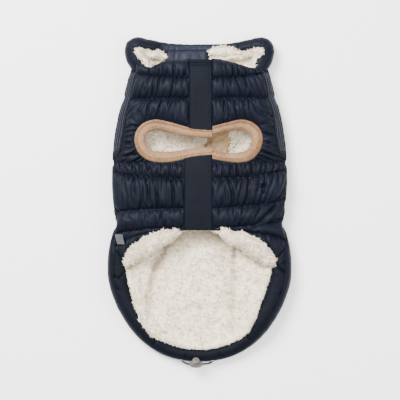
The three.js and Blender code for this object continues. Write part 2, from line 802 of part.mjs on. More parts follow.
// Fleece inside the collar: a floor that climbs to the band all round
function collarLining() {
  const low = 4 + layerGap;
  const high = low + liningWall;
  const frames = collarFrames(collarSteps);
  const row = (frame, depth, steps) => {
    const edge = foldPoint(frame, frame.inner);
    const inset = edge.clone().sub(frame.at).setZ(0).length();
    const tuck = 3.5 * (1 - smoothstep(frame.at.y, 162, 174));
    const start = rimPoint(frame, inset, 0);
    const toward = collarSpine(frame, 0).sub(start);
    const reach = toward.length();
    toward.normalize();
    const slant = Math.max(toward.dot(frame.inward), 0.25); // a ray that grazes the rim steps further along itself
    return [
      collarSpine(frame, depth),
      ...steps.map((at) => {
        const height = lerp(depth, edge.z + at.z - tuck, at.climb);
        const step = Math.min(at.inset / slant, reach * 0.8);
        return start.clone().addScaledVector(toward, step).setZ(Math.max(height, depth));
      }),
    ];
  };
  const outer = frames.map((frame) =>
    row(frame, low, [
      { inset: 10, climb: 0, z: 0 },
      { inset: 4, climb: 0.3, z: -2 },
      { inset: 3, climb: 0.75, z: -3.4 },
      { inset: 1.6, climb: 1, z: -3.6 },
    ]),
  );
  const inner = frames.map((frame) =>
    row(frame, high, [
      { inset: 14, climb: 0, z: 0 },
      { inset: 8.5, climb: 0.3, z: -1 },
      { inset: 7, climb: 0.8, z: -0.6 },
      { inset: 4.4, climb: 1, z: 0 },
    ]),
  );
  return wall(outer, inner, true);
}

// Plain woven label on the left hip, laid over the belly's quilting
function hipLabel() {
  const middle = { x: -95, y: -44 };
  const size = { x: 8.4, y: 11.5 };
  const rise = 3.4;
  const grid = (lift) => {
    const rows = [];
    for (let r = 0; r <= 4; r += 1) {
      const y = middle.y + size.y * (r / 4 - 0.5);
      const row = [];
      for (let c = 0; c <= 4; c += 1) {
        const x = middle.x + size.x * (c / 4 - 0.5) + (r / 4 - 0.5) * 1.2;
        row.push(archPoint(y, angleAt(x, y), lift));
      }
      rows.push(row);
    }
    return rows;
  };
  return wall(grid(rise + 0.8), grid(rise));
}

// The cord lock leans against the rear hem's fold, its plunger pointing up the coat
const foldCentre = vec(lock.x, tailY + tailRadius, tailRadius);
const leanAngle = degToRad(136); // direction from the fold's centre to the lock, from +Y towards +Z
const lockReach = tailRadius + 1.6 + lock.thick / 2;
const lockCentre = foldCentre.clone().add(vec(0, Math.cos(leanAngle), Math.sin(leanAngle)).multiplyScalar(lockReach));
const lockAxis = vec(0, Math.sin(leanAngle), -Math.cos(leanAngle)).normalize();
const lockTurn = new THREE.Quaternion().setFromUnitVectors(vec(0, 1, 0), lockAxis);

function lathe(profile, sides) {
  return new THREE.LatheGeometry(profile.map(([r, y]) => new THREE.Vector2(r, y)), sides);
}

function lockBarrel() {
  const half = lock.length / 2;
  const body = lathe([[0, -half], [0.62, -half], [0.92, -half + 1.2], [1, 0], [0.92, half - 0.9], [0.72, half], [0, half]], 20);
  body.scale(lock.width / 2, 1, lock.thick / 2);
  const bore = new THREE.CylinderGeometry(lock.bore, lock.bore, lock.length, 20);
  bore.translate(0, 1.2, 0);
  const cordHole = new THREE.CylinderGeometry(cordRadius + 0.35, cordRadius + 0.35, lock.width + 4, 12);
  cordHole.rotateZ(halfTurn);
  cordHole.translate(0, -0.4, 0);
  return cutAway(cutAway(body, bore), cordHole);
}

function lockPlunger() {
  const half = lock.length / 2;
  const shoulder = half + plungerTravel + 0.4;
  const top = shoulder + lock.headThick;
  const foot = -half + 1.2 + plungerTravel + 0.5;
  return lathe(
    [
      [0, foot],
      [lock.stem, foot],
      [lock.stem, shoulder],
      [lock.headRadius, shoulder],
      [lock.headRadius, shoulder + 1.1],
      [lock.headRadius * 0.72, top - 0.25],
      [0, top],
    ],
    20,
  );
}

// Eyelets on the hem's fold, and the elastic that runs from each into the lock
const eyeletDegrees = 22;
function hemFrameAt(x) {
  const frames = backFrames(backSteps * 3);
  return frames.reduce((best, frame) => {
    const near = Math.abs(frame.at.x - x) < Math.abs(best.at.x - x);
    return frame.at.y < -150 && near ? frame : best;
  }, frames[backSteps * 3]);
}

function eyelet(x) {
  const frame = hemFrameAt(x);
  const ring = lathe([[1.7, 0], [3.1, 0], [3.2, 0.5], [2.5, 1.1], [1.7, 0.8], [1.7, 0]], 12);
  const seat = foldPoint(frame, eyeletDegrees, -0.45);
  const outward = seat.clone().sub(foldPoint(frame, eyeletDegrees, 1)).normalize();
  ring.applyQuaternion(new THREE.Quaternion().setFromUnitVectors(vec(0, 1, 0), outward));
  ring.translate(seat.x, seat.y, seat.z);
  return { ring, seat, outward };
}

function hemCord(x) {
  const side = Math.sign(x - lock.x);
  const { seat, outward } = eyelet(x);
  const mouth = lockCentre.clone().addScaledVector(lockAxis, -0.4);
  const stop = lock.width / 2 - 1.3;
  const curve = new THREE.CatmullRomCurve3(
    [
      seat.clone(),
      seat.clone().addScaledVector(outward, 2.4).add(vec(-side * 1, 0, 0.6)),
      mouth.clone().add(vec(side * (lock.width / 2 + 3.2), 0.4, -0.2)),
      mouth.clone().add(vec(side * (lock.width / 2 + 0.6), 0, 0)),
      mouth.clone().add(vec(side * stop, 0, 0)),
    ],
    false,
    "centripetal",
  );
  const section = new THREE.Shape();
  section.absarc(0, 0, cordRadius, 0, 2 * Math.PI, false);
  return new THREE.ExtrudeGeometry(section, { extrudePath: curve, steps: 9, curveSegments: 3, bevelEnabled: false });
}

// Materials
const finish = (color, roughness, metalness = 0) => new THREE.MeshStandardMaterial({ color, roughness, metalness });
const navyShell = finish(0x242a36, 0.55);
const navyTrim = finish(0x272d3b, 0.7);
const fleece = finish(0xdbd5c9, 0.95);
const tanRib = finish(0xcdac8e, 0.9);
const metal = finish(0x9a9a98, 0.35, 0.9);
const plastic = finish(0xaaa29c, 0.4);
const wovenLabel = finish(0x8c8c90, 0.8);

const coat = new THREE.Group();
coat.name = "dog_winter_coat";

function addPiece(name, geometry, material, parent = coat) {
  const mesh = new THREE.Mesh(geometry, material);
  mesh.name = name;
  parent.add(mesh);
  return mesh;
}

const cutter = legCutter();
const sides = [
  { name: "left", sign: -1, lobe: leftLobe },
  { name: "right", sign: 1, lobe: rightLobe },
];

addPiece("back_shell", backShell(), navyShell);
addPiece("back_lining", backLining(), fleece);
addPiece("hem_casing", hemCasing(), navyTrim);
for (const { name, sign, lobe } of sides) {
  addPiece(`belly_shell_${name}`, cutAway(bellyShell(sign), cutter), navyShell);
  addPiece(`belly_lining_${name}`, cutAway(bellyLining(sign), cutter), fleece);
  addPiece(`collar_front_${name}`, frontCollar(sign), navyShell);
  addPiece(`leg_rib_${name}`, legRib(lobe, sign), tanRib);
  addPiece(`side_rib_${name}`, sideRib(sign), navyTrim);
}
addPiece("placket_upper", cutAway(placket(169.5, 84, placketLeftUpper, 12), cutter), navyTrim);
addPiece("placket_lower", cutAway(placket(60, -32.6, placketLeftLower, 12), cutter), navyTrim);
addPiece("collar_back", backCollar(), navyShell);
addPiece("collar_band", collarBand(), navyTrim);
addPiece("collar_lining", collarLining(), fleece);
addPiece("hip_label", hipLabel(), wovenLabel);
for (const { name, x } of eyelets) addPiece(name, eyelet(x).ring, metal);
addPiece("hem_cord_left", hemCord(eyelets[0].x), navyTrim);
addPiece("hem_cord_right", hemCord(eyelets[1].x), navyTrim);

const cordLock = new THREE.Group();
cordLock.position.copy(lockCentre);
cordLock.quaternion.copy(lockTurn);
coat.add(cordLock);
addPiece("cord_lock_barrel", lockBarrel(), plastic, cordLock);
addPiece("cord_lock_plunger", lockPlunger(), plastic, cordLock);

export default coat;
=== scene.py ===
import math
import bmesh
import bpy
import numpy as np
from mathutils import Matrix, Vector, noise


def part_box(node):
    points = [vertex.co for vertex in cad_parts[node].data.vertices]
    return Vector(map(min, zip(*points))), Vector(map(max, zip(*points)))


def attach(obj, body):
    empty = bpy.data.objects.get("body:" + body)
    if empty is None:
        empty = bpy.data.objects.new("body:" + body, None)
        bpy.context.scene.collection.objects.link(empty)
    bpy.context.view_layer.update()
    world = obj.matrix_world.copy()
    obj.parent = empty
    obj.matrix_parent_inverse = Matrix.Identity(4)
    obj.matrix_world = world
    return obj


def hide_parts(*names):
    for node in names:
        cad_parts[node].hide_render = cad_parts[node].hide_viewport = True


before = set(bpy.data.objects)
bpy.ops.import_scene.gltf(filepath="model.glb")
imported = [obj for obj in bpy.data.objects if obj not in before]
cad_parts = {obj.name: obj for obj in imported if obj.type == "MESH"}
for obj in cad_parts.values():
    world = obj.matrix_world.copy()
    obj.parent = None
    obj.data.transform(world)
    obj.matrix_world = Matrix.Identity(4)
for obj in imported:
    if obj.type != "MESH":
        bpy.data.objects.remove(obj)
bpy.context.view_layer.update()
noise.seed_set(11)   # the noise's own offsets would start from the clock

# Work is in millimetres until a mesh is made. +Y runs to the collar and the belly faces up.
mm = 0.001
quarter = math.pi / 2

view = {
    "height": 1.5,       # camera above the coat, in metres
    "across": 0.48,      # width of the picture at the coat, in metres
    "middleX": 0.0006,
    "middleY": 0.0024,
}

cut = {
    "tuck": 0.7,          # how far a panel's edge runs under the piece sewn over it
    "sideRadius": 11.5,
    "rearRadius": 12.0,
    "tailRadius": 8.0,
    "crownPower": 0.375,
    "neckY": 157.0,
    "tailY": -190.4,
    "hemCornerY": -71.0,
    "openingMiddleY": 73.0,
    "spineEndY": -118.0,
    "hemSeam": 65.0,      # degrees up the fold
}

bodyStations = {
    "y": [178, 166, 157, 146, 126, 98, 62, 26, -8, -26, -40, -58, -76, -94, -118],
    "half": [88, 85, 81, 84.5, 89.6, 97.2, 102.6, 103.8, 101.6, 99.2, 104, 108, 109.2, 108, 100.8],
    "crown": [31, 34, 35.5, 36.5, 36, 35.5, 36, 38, 37, 35.5, 33.5, 31, 29, 27, 25],
}
tailStations = {"y": [-136, -154, -170, -182, -188.4], "half": [91.6, 79.2, 63, 43.5, 22]}
collarStations = {
    "x": [-81.5, -87.2, -89.4, -86, -75, -60, -38, 0],
    "y": [157.4, 168, 180, 191, 196.6, 194.2, 190, 188.6],
    "radius": [11.5, 12, 12, 11, 11, 10, 8, 7],
    "inner": [78, 80, 86, 84, 91, 102, 135, 145],
}
shellEdge = {
    "y": [178, 68, 57, 47, -26, -38, -50, -60, -71, -100],
    "share": [0.7, 0.7, 0.74, 0.885, 0.885, 0.86, 0.8, 0.72, 0.62, 0.6],
}
bellyRows = {
    "middle": [146.4, 122.4, 100, 73, 46, 27.6, -7, -29.8, -31.8],
    "left": [153.0, 121.5, 101, 75, 47, 36, -13, -39, -54],
    "right": [153.0, 123.5, 102, 73, 48, 39.6, 6, -20, -46],
    "sewn": [1, 1, 0, 0, 1, 1, 1, 1, 1],
    "gather": [1.24, 1.24, 1.2, 1.2, 1.24, 1.24, 1.13, 1.07, 1.05],   # cloth to the width it is sewn into
    "loose": [1.05, 1.055, 1.06, 1.06, 1.05, 1.045, 1.07, 1.09, 1.12],   # the same up and down
}
hemArch = {"x": [0, 45, 62, 72, 80, 86, 91, 110], "y": [-33, -35, -40, -45.5, -54, -62.5, -71, -77]}
hemRoll = {"x": [0, 20, 28, 40, 54, 66, 78, 85, 90], "reach": [0.6, 1.2, 6, 13, 18, 22, 18, 9, 1]}
frontCollarEdge = {
    "x": [-90, -80, -70, -62, -54, -46, -38, -26, -10, 12, 32, 48, 64, 76, 90],
    "y": [159, 161, 163.6, 160.4, 158.4, 161.6, 165.4, 168, 168.8, 168.8, 164.8, 160.4, 157.8, 159.6, 159],
}
leftLobe = {
    "x": [14.8, -10, -34, -53, -67.2, -74.8, -76.4, -71.8, -61.2, -45, -27.6, -8, 14.8],
    "y": [84.8, 87, 93.6, 96.8, 91.8, 82.4, 71.4, 58.6, 49.6, 46.4, 48, 52.4, 54.8],
}
rightLobe = {
    "x": [15.2, 31.4, 49.8, 63.2, 71.8, 74.2, 70, 60.4, 47, 31.4, 15.2],
    "y": [88.8, 93, 96.8, 93, 84.4, 72.2, 59, 49.6, 46.4, 47.4, 50.4],
}


def unit(v):
    return v / np.maximum(np.linalg.norm(v, axis=-1, keepdims=True), 1e-9)


def smooth(x, low, high):
    t = np.clip((x - low) / (high - low), 0, 1)
    return t * t * (3 - 2 * t)


def mix(a, b, t):
    return a + (b - a) * t


def sideName(side):
    return "left" if side < 0 else "right"


def lengthAlong(line):
    # the length of a line of points up to each of them
    return np.r_[0, np.cumsum(np.linalg.norm(np.diff(line, axis=0), axis=1))]


def readLine(places, length, line):
    return np.stack([np.interp(places, length, line[:, c]) for c in range(line.shape[1])], 1)


def readColumn(table, key, name, place):
    # a smooth curve through the rows that never overshoots them
    at = np.asarray(table[key], float)
    value = np.asarray(table[name], float)
    order = np.argsort(at)
    at, value = at[order], value[order]
    slope = np.diff(value) / np.diff(at)
    before, after = np.r_[slope[:1], slope], np.r_[slope, slope[-1:]]
    same = before * after > 0
    tangent = np.where(same, 2 * before * after / np.where(same, before + after, 1), 0)
    place = np.clip(place, at[0], at[-1])
    i = np.clip(np.searchsorted(at, place) - 1, 0, len(at) - 2)
    step = at[i + 1] - at[i]
    f = (place - at[i]) / step
    return (
        (2 * f**3 - 3 * f**2 + 1) * value[i] + (f**3 - 2 * f**2 + f) * step * tangent[i]
        + (3 * f**2 - 2 * f**3) * value[i + 1] + (f**3 - f**2) * step * tangent[i + 1]
    )


def splineThrough(points, places):
    # centripetal spline through the points, read at shares of its length, with its direction
    p = np.asarray(points, float)
    p = np.vstack([2 * p[0] - p[1], p, 2 * p[-1] - p[-2]])
    t = np.linspace(0, 1, 60, endpoint=False)[:, None]
    dense = []
    for k in range(1, len(p) - 2):
        d0, d1, d2 = (math.sqrt(np.linalg.norm(p[k + j] - p[k + j - 1])) or 1 for j in (0, 1, 2))
        a = ((p[k] - p[k - 1]) / d0 - (p[k + 1] - p[k - 1]) / (d0 + d1) + (p[k + 1] - p[k]) / d1) * d1
        b = ((p[k + 1] - p[k]) / d1 - (p[k + 2] - p[k]) / (d1 + d2) + (p[k + 2] - p[k + 1]) / d2) * d1
        dense.append(
            p[k] + a * t + (3 * (p[k + 1] - p[k]) - 2 * a - b) * t**2 + (2 * (p[k] - p[k + 1]) + a + b) * t**3
        )
    dense = np.vstack([*dense, p[-2][None]])
    length = lengthAlong(dense)
    at = np.asarray(places) * length[-1]
    ahead = readLine(np.minimum(at + 0.4, length[-1]), length, dense)
    behind = readLine(np.maximum(at - 0.4, 0), length, dense)
    return readLine(at, length, dense), unit(ahead - behind)


# The belly's arch and the places of the quilting on it
def halfWidth(y):
    return readColumn(bodyStations, "y", "half", y)


def archHeight(x, y):
    share = np.clip(x / halfWidth(y), -1, 1)
    crown = readColumn(bodyStations, "y", "crown", y)
    return cut["sideRadius"] + (crown - cut["sideRadius"]) * (1 - share**2) ** cut["crownPower"]


def archPoint(y, angle, lift=0.0):
    def place(yy, a):
        crown = readColumn(bodyStations, "y", "crown", yy)
        rise = np.maximum(np.cos(a), 0) ** (2 * cut["crownPower"])
        height = cut["sideRadius"] + (crown - cut["sideRadius"]) * rise
        return np.stack([halfWidth(yy) * np.sin(a), yy, height], -1)
    y, angle = np.broadcast_arrays(np.asarray(y, float), np.asarray(angle, float))
    across = place(y, np.minimum(angle + 0.01, quarter)) - place(y, np.maximum(angle - 0.01, -quarter))
    along = place(y + 0.5, angle) - place(y - 0.5, angle)
    return place(y, angle) + unit(np.cross(across, along)) * np.asarray(lift, float)[..., None]


def stepAngle(y, angle, distance):
    reach = np.linalg.norm(archPoint(y, angle + 0.01) - archPoint(y, angle), axis=-1)
    return angle + 0.01 * distance / reach


def edgeAngle(y):
    return readColumn(shellEdge, "y", "share", y) * quarter


def seamAngle(y):
    return np.where(y > 47, 0.885 * quarter, edgeAngle(y))


def angleAt(x, y):
    return np.arcsin(np.clip(x / halfWidth(y), -1, 1))


def innerX(y, side):
    if side > 0:
        return 15.0 - cut["tuck"] + 0 * y
    turn = smooth(y, cut["openingMiddleY"] - 12, cut["openingMiddleY"] + 12)
    return mix(-18.0, -12.6, turn) + cut["tuck"]


def rowY(row, share, side):
    share = np.asarray(share, float)
    if row < len(bellyRows["middle"]):
        out = bellyRows["left" if side < 0 else "right"][row]
        return mix(bellyRows["middle"][row], out, share**1.6)
    low = np.full_like(share, cut["hemCornerY"] - 6)
    high = np.full_like(share, hemArch["y"][0])
    for _ in range(24):
        y = (low + high) / 2
        angle = mix(np.abs(angleAt(innerX(y, side), y)), edgeAngle(y), share)
        above = y > readColumn(hemArch, "x", "y", halfWidth(y) * np.sin(angle))
        high, low = np.where(above, y, high), np.where(above, low, y)
    return (low + high) / 2


def bellyPlace(row, part, share, side, edge=edgeAngle):
    y = mix(rowY(row, share, side), rowY(min(row + 1, len(bellyRows["middle"])), share, side), part)
    return y, side * mix(np.abs(angleAt(innerX(y, side), y)), edge(y), share)


def evenShares(count):
    # shares that step evenly round the arch, which turns down at its sides
    share = np.linspace(0, 1, 400)
    line = archPoint(0 * share, mix(0.15, 0.885 * quarter, share))
    length = lengthAlong(line)
    return np.interp(np.linspace(0, length[-1], count + 1), length, share)


def lobeFrames(lobe, count):
    at, tangent = splineThrough(np.stack([lobe["x"], lobe["y"]], 1), np.linspace(0, 1, count + 1))
    inward = np.stack([-tangent[:, 1], tangent[:, 0]], 1)
    inward[[0, -1]] = [0, 1] * np.sign(inward[[0, -1]])
    return at, unit(inward) * (1 if inward[0, 1] < 0 else -1), np.linspace(0, 1, count + 1)


def legOutline():
    leftAt, leftIn, _ = lobeFrames(leftLobe, 160)
    rightAt, rightIn, _ = lobeFrames(rightLobe, 150)
    return np.vstack([leftAt + leftIn * cut["tuck"], (rightAt + rightIn * cut["tuck"])[::-1]])


def outsideDistance(points, outline):
    # distance to a closed outline, negative inside it, and the nearest place on it
    a, b = outline, np.roll(outline, -1, 0)
    edge = b - a
    best = np.full(len(points), 1e9)
    near = np.zeros((len(points), 2))
    inside = np.zeros(len(points), bool)
    for p, q, e in zip(a, b, edge):
        size = e @ e
        if size < 1e-9:
            continue
        t = np.clip(((points - p) @ e) / size, 0, 1)
        spot = p + t[:, None] * e
        far = np.hypot(*(points - spot).T)
        closer = far < best
        best = np.where(closer, far, best)
        near = np.where(closer[:, None], spot, near)
        crosses = (p[1] > points[:, 1]) != (q[1] > points[:, 1])
        with np.errstate(divide="ignore", invalid="ignore"):
            inside ^= crosses & (points[:, 0] < p[0] + (points[:, 1] - p[1]) / e[1] * e[0])
    return np.where(inside, -best, best), near


# Meshes from grids of points
def stripFaces(a, b):
    # a band of triangles between two rows of point numbers of any lengths
    faces, i, j = [], 0, 0
    while i < len(a) - 1 or j < len(b) - 1:
        if j == len(b) - 1 or (i < len(a) - 1 and (i + 1) / (len(a) - 1) <= (j + 1) / (len(b) - 1)):
            faces.append((a[i], a[i + 1], b[j]))
            i += 1
        else:
            faces.append((a[i], b[j + 1], b[j]))
            j += 1
    return faces


def meshPiece(name, points, faces, sharp=50):
    mesh = bpy.data.meshes.new(name)
    mesh.from_pydata((np.asarray(points) * mm).tolist(), [], faces)
    work = bmesh.new()
    work.from_mesh(mesh)
    bmesh.ops.remove_doubles(work, verts=work.verts, dist=4e-6)
    bmesh.ops.dissolve_degenerate(work, edges=work.edges, dist=2e-6)
    loose = [v for v in work.verts if not v.link_faces]
    bmesh.ops.delete(work, geom=loose, context="VERTS")
    bmesh.ops.recalc_face_normals(work, faces=work.faces)
    work.to_mesh(mesh)
    work.free()
    mesh.shade_smooth()
    mesh.set_sharp_from_angle(angle=math.radians(sharp))
    piece = bpy.data.objects.new(name, mesh)
    bpy.context.scene.collection.objects.link(piece)
    return piece


def wallPiece(name, outer, inner, folded=False, sharp=50):
    # a closed wall between two grids; a folded one meets its mirror along its first column
    points = np.vstack([outer.reshape(-1, 3), inner.reshape(-1, 3)])
    faces, marks = [], []
    for grid, start in ((outer, 0), (inner, outer.shape[0] * outer.shape[1])):
        mark = np.arange(grid.shape[0] * grid.shape[1]).reshape(grid.shape[:2]) + start
        marks.append(mark)
        quads = np.stack([mark[:-1, :-1], mark[1:, :-1], mark[1:, 1:], mark[:-1, 1:]], -1)
        faces += quads.reshape(-1, 4).tolist()
    top, under = marks
    faces += stripFaces(top[0].tolist(), under[0].tolist())
    faces += stripFaces(top[-1].tolist(), under[-1].tolist())
    faces += stripFaces(top[:, -1].tolist(), under[:, -1].tolist())
    if not folded:
        faces += stripFaces(top[:, 0].tolist(), under[:, 0].tolist())
    return meshPiece(name, points, faces, sharp)


def cutWallPiece(name, outer, inner, outline, sharp=50):
    # two grids of one size with the leg openings cut through both, the cut's edge drawn to the outline
    rows, columns = outer.shape[:2]
    middle = (outer[:-1, :-1] + outer[1:, :-1] + outer[1:, 1:] + outer[:-1, 1:])[..., :2] / 4
    keep = outsideDistance(middle.reshape(-1, 2), outline)[0].reshape(rows - 1, columns - 1) > 0
    padded = np.pad(keep, 1)
    touching = np.stack([padded[:-1, :-1], padded[1:, :-1], padded[:-1, 1:], padded[1:, 1:]])
    border = touching.any(0) & ~touching.all(0)
    border[0], border[-1], border[:, 0], border[:, -1] = False, False, False, False
    outer, inner = outer.copy(), inner.copy()
    for grid in (outer, inner):
        spots = grid[border]
        grid[border] = np.hstack([outsideDistance(spots[:, :2], outline)[1], spots[:, 2:]])
    mark = np.arange(rows * columns).reshape(rows, columns)
    a, b, c, d = mark[:-1, :-1][keep], mark[1:, :-1][keep], mark[1:, 1:][keep], mark[:-1, 1:][keep]
    quads = np.stack([a, b, c, d], -1)
    faces = quads.tolist() + (quads[:, ::-1] + rows * columns).tolist()
    edges = {}
    for quad in quads.tolist():
        for k in range(4):
            edge = (quad[k], quad[(k + 1) % 4])
            if edges.pop(edge[::-1], None) is None:
                edges[edge] = True
    faces += [(p, q, q + rows * columns, p + rows * columns) for p, q in edges]
    return meshPiece(name, np.vstack([outer.reshape(-1, 3), inner.reshape(-1, 3)]), faces, sharp)


def gridNormals(grid):
    down = np.gradient(grid, axis=0)
    across = np.gradient(grid, axis=1)
    return unit(np.cross(down, across))


def facesUp(grid):
    # 1 where a grid's own normals point up, otherwise -1
    return 1 if gridNormals(grid)[..., 2].mean() > 0 else -1


def creaseDepth(x, y, creases):
    # soft valleys between two places, each a row of from, to, width and depth
    total = np.zeros_like(x)
    for x0, y0, x1, y1, width, depth in creases:
        dx, dy = x1 - x0, y1 - y0
        size = dx * dx + dy * dy
        t = ((x - x0) * dx + (y - y0) * dy) / size
        away = ((x - x0) * dy - (y - y0) * dx) / math.sqrt(size)
        ends = smooth(t, -0.15, 0.25) * smooth(-t, -1.15, -0.5)
        total += depth * np.exp(-((away / width) ** 2)) * ends
    return total


# Cloth: threads cut longer than the place they are sewn into settle over the padding
settling = {
    "steps": 110, "rounds": 5,
    "drag": 0.86, "press": 0.008, "relax": 1.5, "bend": 0.22,
    "low": -1.2, "high": 6.4,   # how far it may lie under and over its base
    "uneven": 0.65,             # how much the cut's looseness wanders
}


def settleCloth(start, base, pinned, up, across, along, seed, **changes):
    d = {**settling, **changes}
    loose = 1 + d["uneven"] * rippled(base.reshape(-1, 3), 14.0, seed, 2).reshape(pinned.shape)
    wide = np.linalg.norm(np.diff(base, axis=1), axis=2) * (1 + (across - 1) * loose)[:, 1:]
    tall = np.linalg.norm(np.diff(base, axis=0), axis=2) * (1 + (along - 1) * loose)[1:]
    slant = np.hypot(wide[:-1], tall[:, :-1])
    every, first, second = slice(None), slice(0, -1), slice(1, None)
    threads = [
        ((every, first), (every, second), wide, 1.0), ((first, every), (second, every), tall, 1.0),
        ((first, first), (second, second), slant, 0.35), ((first, second), (second, first), slant, 0.35),
        ((every, slice(0, -2)), (every, slice(2, None)), wide[:, 1:] + wide[:, :-1], d["bend"]),
        ((slice(0, -2), every), (slice(2, None), every), tall[1:] + tall[:-1], d["bend"]),
    ]
    share = np.zeros((*pinned.shape, 1))
    for a, b, _, stiff in threads:
        share[a] += stiff
        share[b] += stiff
    free = (~pinned)[..., None] * 1.0
    spots, before = start.copy(), start.copy()
    outward = np.sign((gridNormals(base) * up).sum())
    for _ in range(d["steps"]):
        speed = (spots - before) * d["drag"]
        before = spots.copy()
        spots = spots + free * (speed + gridNormals(spots) * outward * d["press"])
        for _ in range(d["rounds"]):
            shift = np.zeros_like(spots)
            for a, b, rest, stiff in threads:
                gap = spots[b] - spots[a]
                size = np.linalg.norm(gap, axis=2, keepdims=True) + 1e-9
                pull = gap * ((size - rest[..., None]) / size) * (0.5 * stiff)
                shift[a] += pull
                shift[b] -= pull
            spots = spots + free * shift / share * d["relax"]
        high = ((spots - base) * up).sum(2)
        spots = spots + free * up * (np.maximum(d["low"] - high, 0) - np.maximum(high - d["high"], 0))[..., None]
    return spots


def lumps(points, size, seed):
    # rounded knots of fleece with creases between them, 0 to 1
    shift = Vector((seed * 13.7, seed * 7.1, seed * 3.3))
    value = np.empty(len(points))
    for i, p in enumerate(points / size):
        q = Vector(p) + shift
        q += noise.noise_vector(q * 0.9) * 0.55
        near = noise.voronoi(q, distance_metric="DISTANCE_SQUARED")[0]
        value[i] = 1 - min(near[0] * 1.1, 1.0)
    return value


def rippled(points, size, seed, octaves=3):
    shift = Vector((seed * 5.3, seed * 11.9, seed * 2.7))
    return np.array([noise.fractal(Vector(p) / size + shift, 1.0, 2.0, octaves) for p in points])


# Finishes
tones = {
    "shellLight": (0.048, 0.062, 0.108), "shellDark": (0.027, 0.036, 0.064),
    "trimLight": (0.044, 0.057, 0.092), "trimDark": (0.027, 0.036, 0.060),
    # the collar band's tones are the navy painted lighter, as painted light where the band faces the lamps; bandLight
    # also tints the navy's sheen
    "bandLight": (0.118, 0.132, 0.190), "bandDark": (0.066, 0.076, 0.120),
    # painted highlight: the light grey of the lines laid along the gusset's rib ridges, where the knit catches the
    # light
    "ribHighlight": (0.290, 0.300, 0.360), "ribDark": (0.027, 0.034, 0.055),
    "fleeceLight": (0.945, 0.908, 0.832), "fleeceDark": (0.850, 0.785, 0.675),
    # painted shade: the fleece's colour in the shadow under the rolls, in its folds and in the leg openings
    "fleeceShade": (0.500, 0.415, 0.300),
    "tanLight": (0.560, 0.430, 0.310), "tanDark": (0.400, 0.295, 0.205),
    "facingLight": (0.610, 0.510, 0.385), "facingDark": (0.440, 0.350, 0.245),
    "labelLight": (0.270, 0.270, 0.285), "labelDark": (0.130, 0.130, 0.150),
    "plasticLight": (0.390, 0.360, 0.345), "plasticDark": (0.265, 0.245, 0.235),
}


def linear(name):
    return [c / 12.92 if c <= 0.04045 else ((c + 0.055) / 1.055) ** 2.4 for c in tones[name]] + [1.0]


def newGroup(name, inputs, outputs):
    group = bpy.data.node_groups.new(name, "ShaderNodeTree")
    for label, value in inputs.items():
        kind = "NodeSocketColor" if isinstance(value, tuple) else "NodeSocketFloat"
        socket = group.interface.new_socket(name=label, in_out="INPUT", socket_type=kind)
        socket.default_value = value
    for label, kind in outputs.items():
        group.interface.new_socket(name=label, in_out="OUTPUT", socket_type=kind)
    return group, group.nodes.new("NodeGroupInput"), group.nodes.new("NodeGroupOutput")


def addNode(tree, kind, links=None, **settings):
    node = tree.nodes.new(kind)
    for key, value in settings.items():
        if key.startswith("in_"):
            node.inputs[int(key[3:]) if key[3:].isdigit() else key[3:]].default_value = value
        else:
            setattr(node, key, value)
    for target, source in (links or {}).items():
        tree.links.new(source, node.inputs[target])
    return node


def toneGroup():
    # slow colour drift and fine mottle, which every cloth shares
    group, given, out = newGroup(
        "clothTone",
        {"Dark": (0.02, 0.02, 0.03, 1.0), "Light": (0.05, 0.05, 0.06, 1.0), "Drift Scale": 25.0, "Mottle Scale": 400.0},
        {"Color": "NodeSocketColor", "Mottle": "NodeSocketFloat"},
    )
    place = addNode(group, "ShaderNodeTexCoord")
    spot = place.outputs["Object"]
    drift = addNode(group, "ShaderNodeTexNoise", {"Vector": spot, "Scale": given.outputs["Drift Scale"]}, in_Detail=3.0)
    mottle = addNode(group, "ShaderNodeTexNoise", {"Vector": spot, "Scale": given.outputs["Mottle Scale"]}, in_Detail=2.0)
    both = addNode(group, "ShaderNodeMath", {0: drift.outputs["Fac"], 1: mottle.outputs["Fac"]}, operation="ADD")
    share = addNode(group, "ShaderNodeMapRange", {"Value": both.outputs[0]}, in_1=0.7, in_2=1.3)
    color = group.nodes.new("ShaderNodeMix")
    color.data_type = "RGBA"
    group.links.new(share.outputs["Result"], color.inputs[0])
    group.links.new(given.outputs["Dark"], color.inputs[6])
    group.links.new(given.outputs["Light"], color.inputs[7])
    group.links.new(color.outputs[2], out.inputs["Color"])
    group.links.new(mottle.outputs["Fac"], out.inputs["Mottle"])
    return group


def weaveGroup():
    # plain weave: threads over and under in two directions
    group, given, out = newGroup("plainWeave", {"Threads": 2200.0, "Slack": 0.3}, {"Height": "NodeSocketFloat"})
    place = addNode(group, "ShaderNodeTexCoord")
    scaled = addNode(group, "ShaderNodeVectorMath", {0: place.outputs["Object"]}, operation="SCALE")
    group.links.new(given.outputs["Threads"], scaled.inputs["Scale"])
    apart = addNode(group, "ShaderNodeSeparateXYZ", {0: scaled.outputs[0]})
    down = addNode(group, "ShaderNodeMath", {0: apart.outputs["Y"], 1: apart.outputs["Z"]}, operation="ADD")
    warp = addNode(group, "ShaderNodeMath", {0: apart.outputs["X"]}, operation="SINE")
    weft = addNode(group, "ShaderNodeMath", {0: down.outputs[0]}, operation="SINE")
    cross = addNode(group, "ShaderNodeMath", {0: warp.outputs[0], 1: weft.outputs[0]}, operation="MULTIPLY")
    loose = addNode(group, "ShaderNodeTexNoise", {"Vector": place.outputs["Object"]}, in_Scale=900.0, in_Detail=2.0)
    slack = addNode(group, "ShaderNodeMath", {0: loose.outputs["Fac"], 1: given.outputs["Slack"]}, operation="MULTIPLY")
    total = addNode(group, "ShaderNodeMath", {0: cross.outputs[0], 1: slack.outputs[0]}, operation="MULTIPLY_ADD")
    total.inputs[1].default_value = 0.5
    group.links.new(slack.outputs[0], total.inputs[2])
    group.links.new(total.outputs[0], out.inputs["Height"])
    return group


